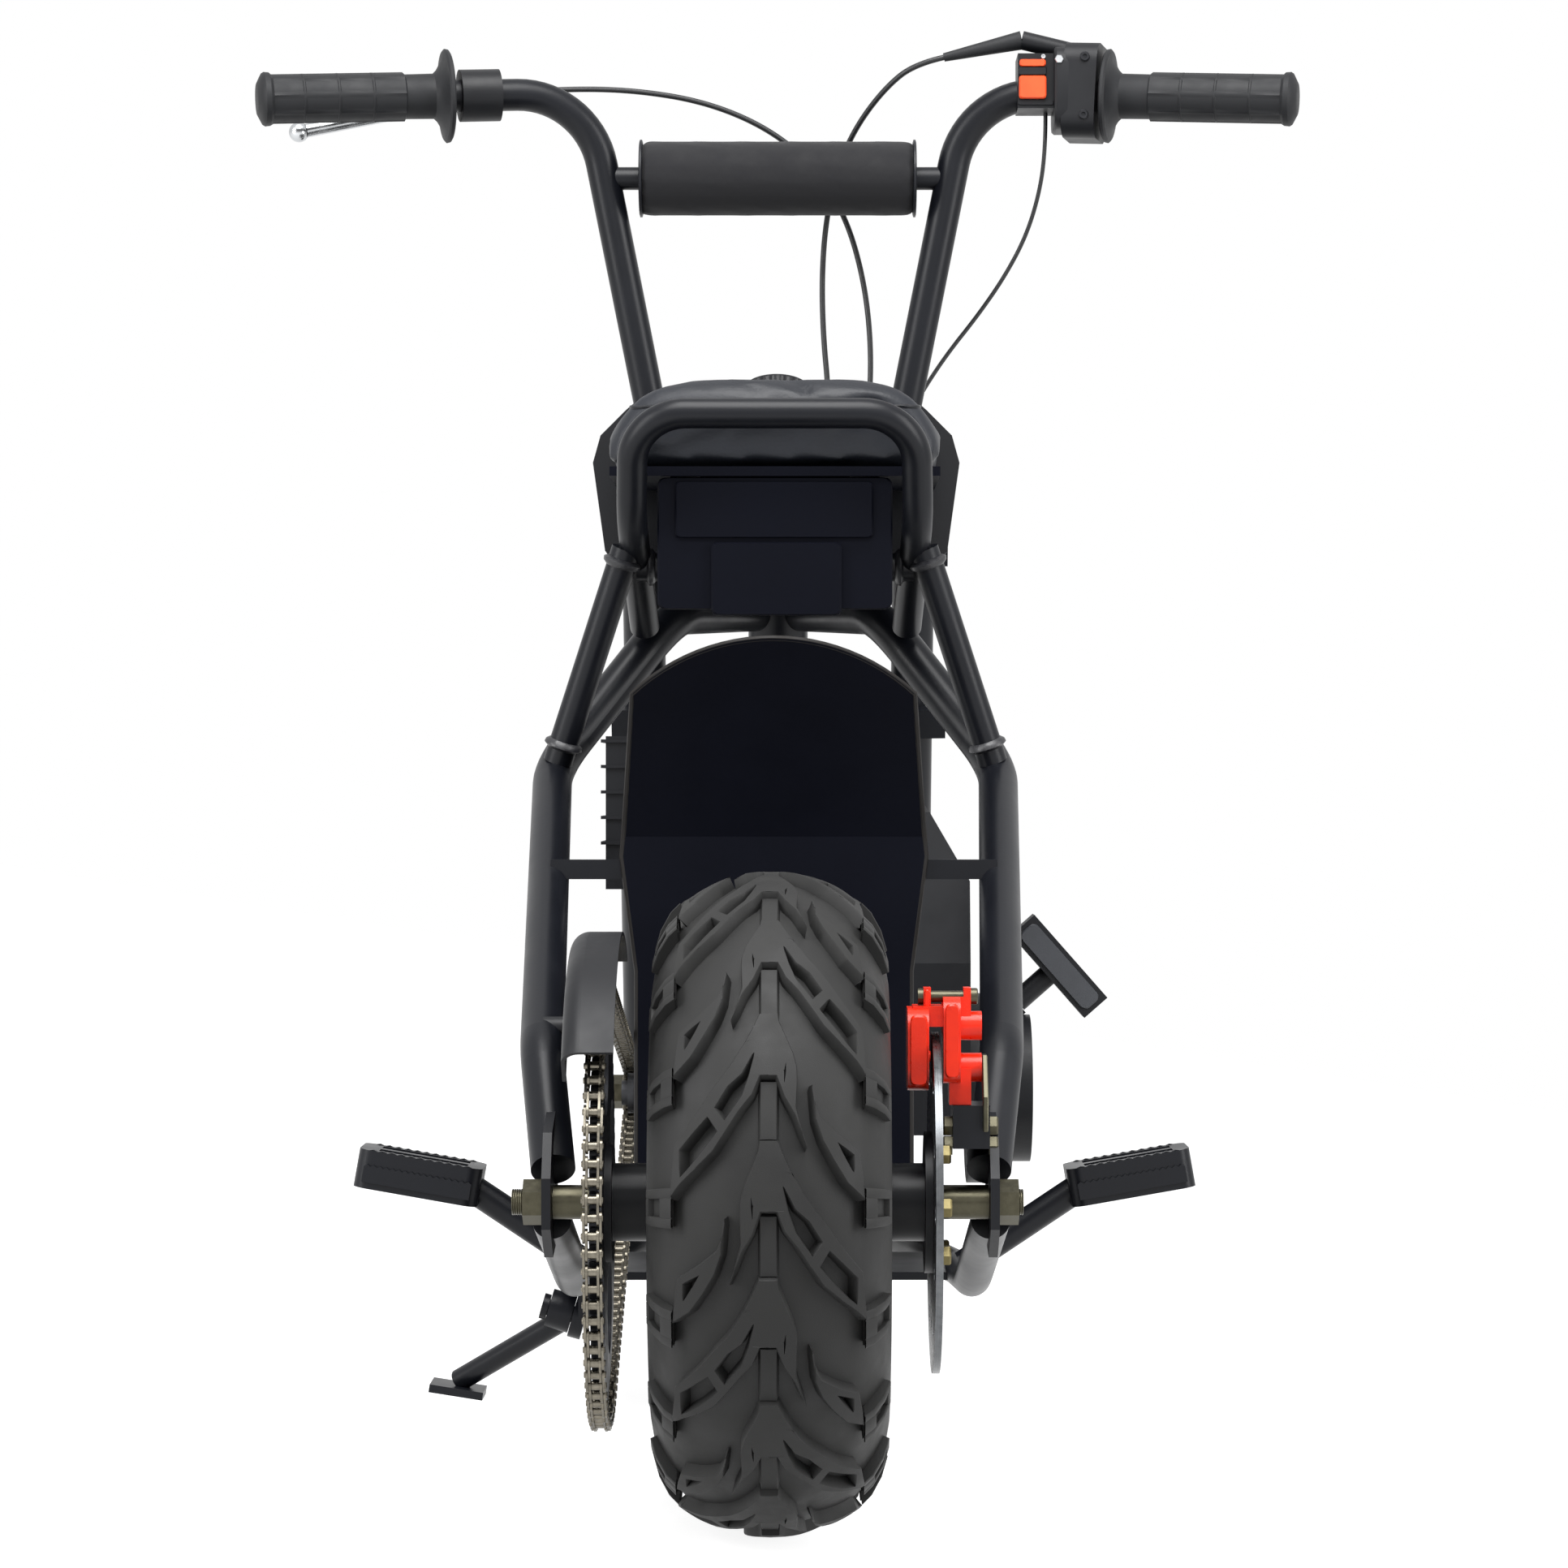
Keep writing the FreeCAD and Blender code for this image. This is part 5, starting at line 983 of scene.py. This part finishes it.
def make_caliper_details():
    metal = bmesh.new()
    turned(metal, (81, -7, 297), (1, 0, 0), [(0, 4.6), (3, 4.6), (3, 3.2), (29, 3.2), (29, 4.6),
                                            (32.4, 4.6), (33, 4)], 20)
    arm = [(-14, 265), (-2, 265), (-5, 250), (-20.6, 241), (-20.6, 224), (-29, 224), (-29, 243)]
    plate(metal, arm, 116.2, 119, "X", 0.5)
    for up in (226, 215):
        bolt(metal, (100, -8, up), (-1, 0, 0), 10, 5.4)
        bolt(metal, (120.2, -8, up), (1, 0, 0), 10, 5)
    piece("caliper_fittings", metal, zinc, "chassis", 30)

    ribs = bmesh.new()
    plate(ribs, rounded(76.4, 249, 85.6, 288, 3), -32.4, -29, chamfer=1.2)
    plate(ribs, rounded(95.6, 253, 103, 294, 3), -30.4, -27, chamfer=1.2)
    plate(ribs, rounded(84.6, 291, 87.6, 301, 1.4), -15.4, -13, chamfer=0.6)
    plate(ribs, rounded(-30, 262, -4, 268, 2.6), 86.2, 87.4, "X", 0.5)
    piece("caliper_ribs", ribs, red_enamel, "chassis")


def make_peg_serrations():
    teeth = bmesh.new()
    for side, corner in ((1, Vector((186, 310, 150))), (-1, Vector((-263, 310, 163.5)))):
        where = Matrix.Translation(corner) @ Matrix.Rotation(math.radians(-10 * side), 4, "Y")
        # a comb across the peg's two edges, and a lower one on each of the bars of its top
        comb = [(73, 4), (5, 4)] + [(5 + 2 * step, 15.4 if step % 2 else 14) for step in range(35)]
        for low, high in ((-1.4, 0.6), (49.4, 51.4)):
            plate(teeth, comb, low, high, chamfer=0.2, where=where)
        comb = [(72, 23), (6, 23)] + [(6 + 3 * step, 24.7 if step % 2 else 23.9)
                                     for step in range(23)]
        for low, high in ((1, 4.4), (45.6, 49)):
            plate(teeth, comb, low, high, chamfer=0.2, where=where)
    piece("peg_serrations", teeth, powder_coat, "chassis", 20)


def make_under_seat_cover():
    cover = bmesh.new()
    # the cover takes the plastic painted darker as shade under the seat
    plate(cover, rounded(-74, 524, 74, 607, 5), 339.6, 344.8, chamfer=1.2)
    plate(cover, rounded(-40, 520, 42, 566, 4), 335, 340.4, chamfer=1.4)
    plate(cover, rounded(-63, 569, 62, 604, 3), 337, 340.4, chamfer=1.2)
    piece("under_seat_cover", cover, navy_plastic_painted_shade, "chassis")


CAP_SIDES = 96
CAP_RADIUS = 23.4
CAP_PROFILE = [(0, 21.5), (1, CAP_RADIUS), (8.4, CAP_RADIUS), (10.2, 21.8), (10.6, 19), (10.2, 8)]


def cap_groove(radius, step):
    return -1 if radius == CAP_RADIUS and step % 4 < 2 else 0


def make_tank_cap():
    cap = bmesh.new()
    tilt = math.radians(22)
    axis = Vector((0, math.sin(tilt), math.cos(tilt)))
    foot = Vector((0, 528, 669)) + axis * 1.5
    ribbed(cap, foot, axis, CAP_PROFILE, CAP_SIDES, cap_groove)
    piece("ribbed_tank_cap", cap, black_abs, "chassis", 30, ("tank_cap",))


def make_pull_handle_face():
    handle = bmesh.new()
    bar, out = Vector((0.66, 0, -0.75)).normalized(), Vector((0.75, 0, 0.66)).normalized()
    end = Vector((152, 455, 266)) + Vector((0.75, 0, 0.66)) * 34
    where = Matrix.Translation(end) @ Matrix((bar, (0, 1, 0), out)).transposed().to_4x4()
    plate(handle, rounded(-33, 3, 33, 17, 4), -14.6, -12.4, chamfer=0.9, where=where)
    piece("pull_handle_face", handle, grey_plastic, "chassis")


# Splash guard's rolled edge: across and up round the sheet, bent as the sheet is
GUARD_HALF, GUARD_SHOULDER = 84, 468
GUARD_BORDER = [(83, 150), (83, 300), (92, 370), (GUARD_HALF, GUARD_SHOULDER)]
# Its top is an arc of this radius round this height
ARC_RADIUS, ARC_HEIGHT = 126, 374.1
# It stands upright up to a height, and above it leans back along an arc
GUARD_PLACE, BEND_START = 248, 382
BEND_RADIUS, BEND_AHEAD, BEND_UP = 420, -143.8, 230.5


def guard_ahead(up):
    """How far ahead of the rear axle the sheet is at a height."""
    if up <= BEND_START:
        return GUARD_PLACE
    return BEND_AHEAD + math.sqrt(BEND_RADIUS ** 2 - (up - BEND_UP) ** 2)


def make_guard_edge():
    border = list(GUARD_BORDER)
    reach = math.asin(GUARD_HALF / ARC_RADIUS)
    for step in range(1, 24):
        turn = reach - 2 * reach * step / 24
        border.append((ARC_RADIUS * math.sin(turn), ARC_HEIGHT + ARC_RADIUS * math.cos(turn)))
    border += [(-across, up) for across, up in reversed(GUARD_BORDER)]
    path = []
    for index, point in enumerate(border):
        follow = border[(index + 1) % len(border)]
        count = max(1, round(math.dist(point, follow) / 12))
        for step in range(count):
            across, up = (a + (b - a) * step / count for a, b in zip(point, follow))
            path.append((across, guard_ahead(up), up))
    shape = bmesh.new()
    tube(shape, path, 2.15, 8, closed=True)
    # the bead's paler colour is a painted highlight along the guard's rim
    piece("splash_guard_edge", shape, edge_plastic_painted_highlight, "chassis")


make_stage()
make_lamps()
make_camera()
cable("brake_cable_line", BRAKE_ROUTE, 4, "brake_cable")
cable("throttle_cable_line", THROTTLE_ROUTE, 4, "throttle_cable")
cable("switch_wire_line", WIRE_ROUTE, 3, "switch_wire")
piece("rear_tyre_moulded", tyre_shape(HUB), tyre_rubber, "rear_wheel", 35,
      ("rear_tyre",))
piece("front_tyre_moulded", tyre_shape(HUB + AHEAD * WHEELBASE), tyre_rubber, "front_wheel",
      35, ("front_tyre",))
piece("roller_chain", chain_shape(), chain_steel, "chassis", 35, ("chain",))

make_seat()
make_bar_pad()
make_grips()
make_axle_fittings()
make_weld_beads()
make_controls()
make_caliper_details()
make_peg_serrations()
make_under_seat_cover()
make_tank_cap()
make_pull_handle_face()
make_guard_edge()

scene = bpy.context.scene
scene.view_settings.view_transform = "Standard"
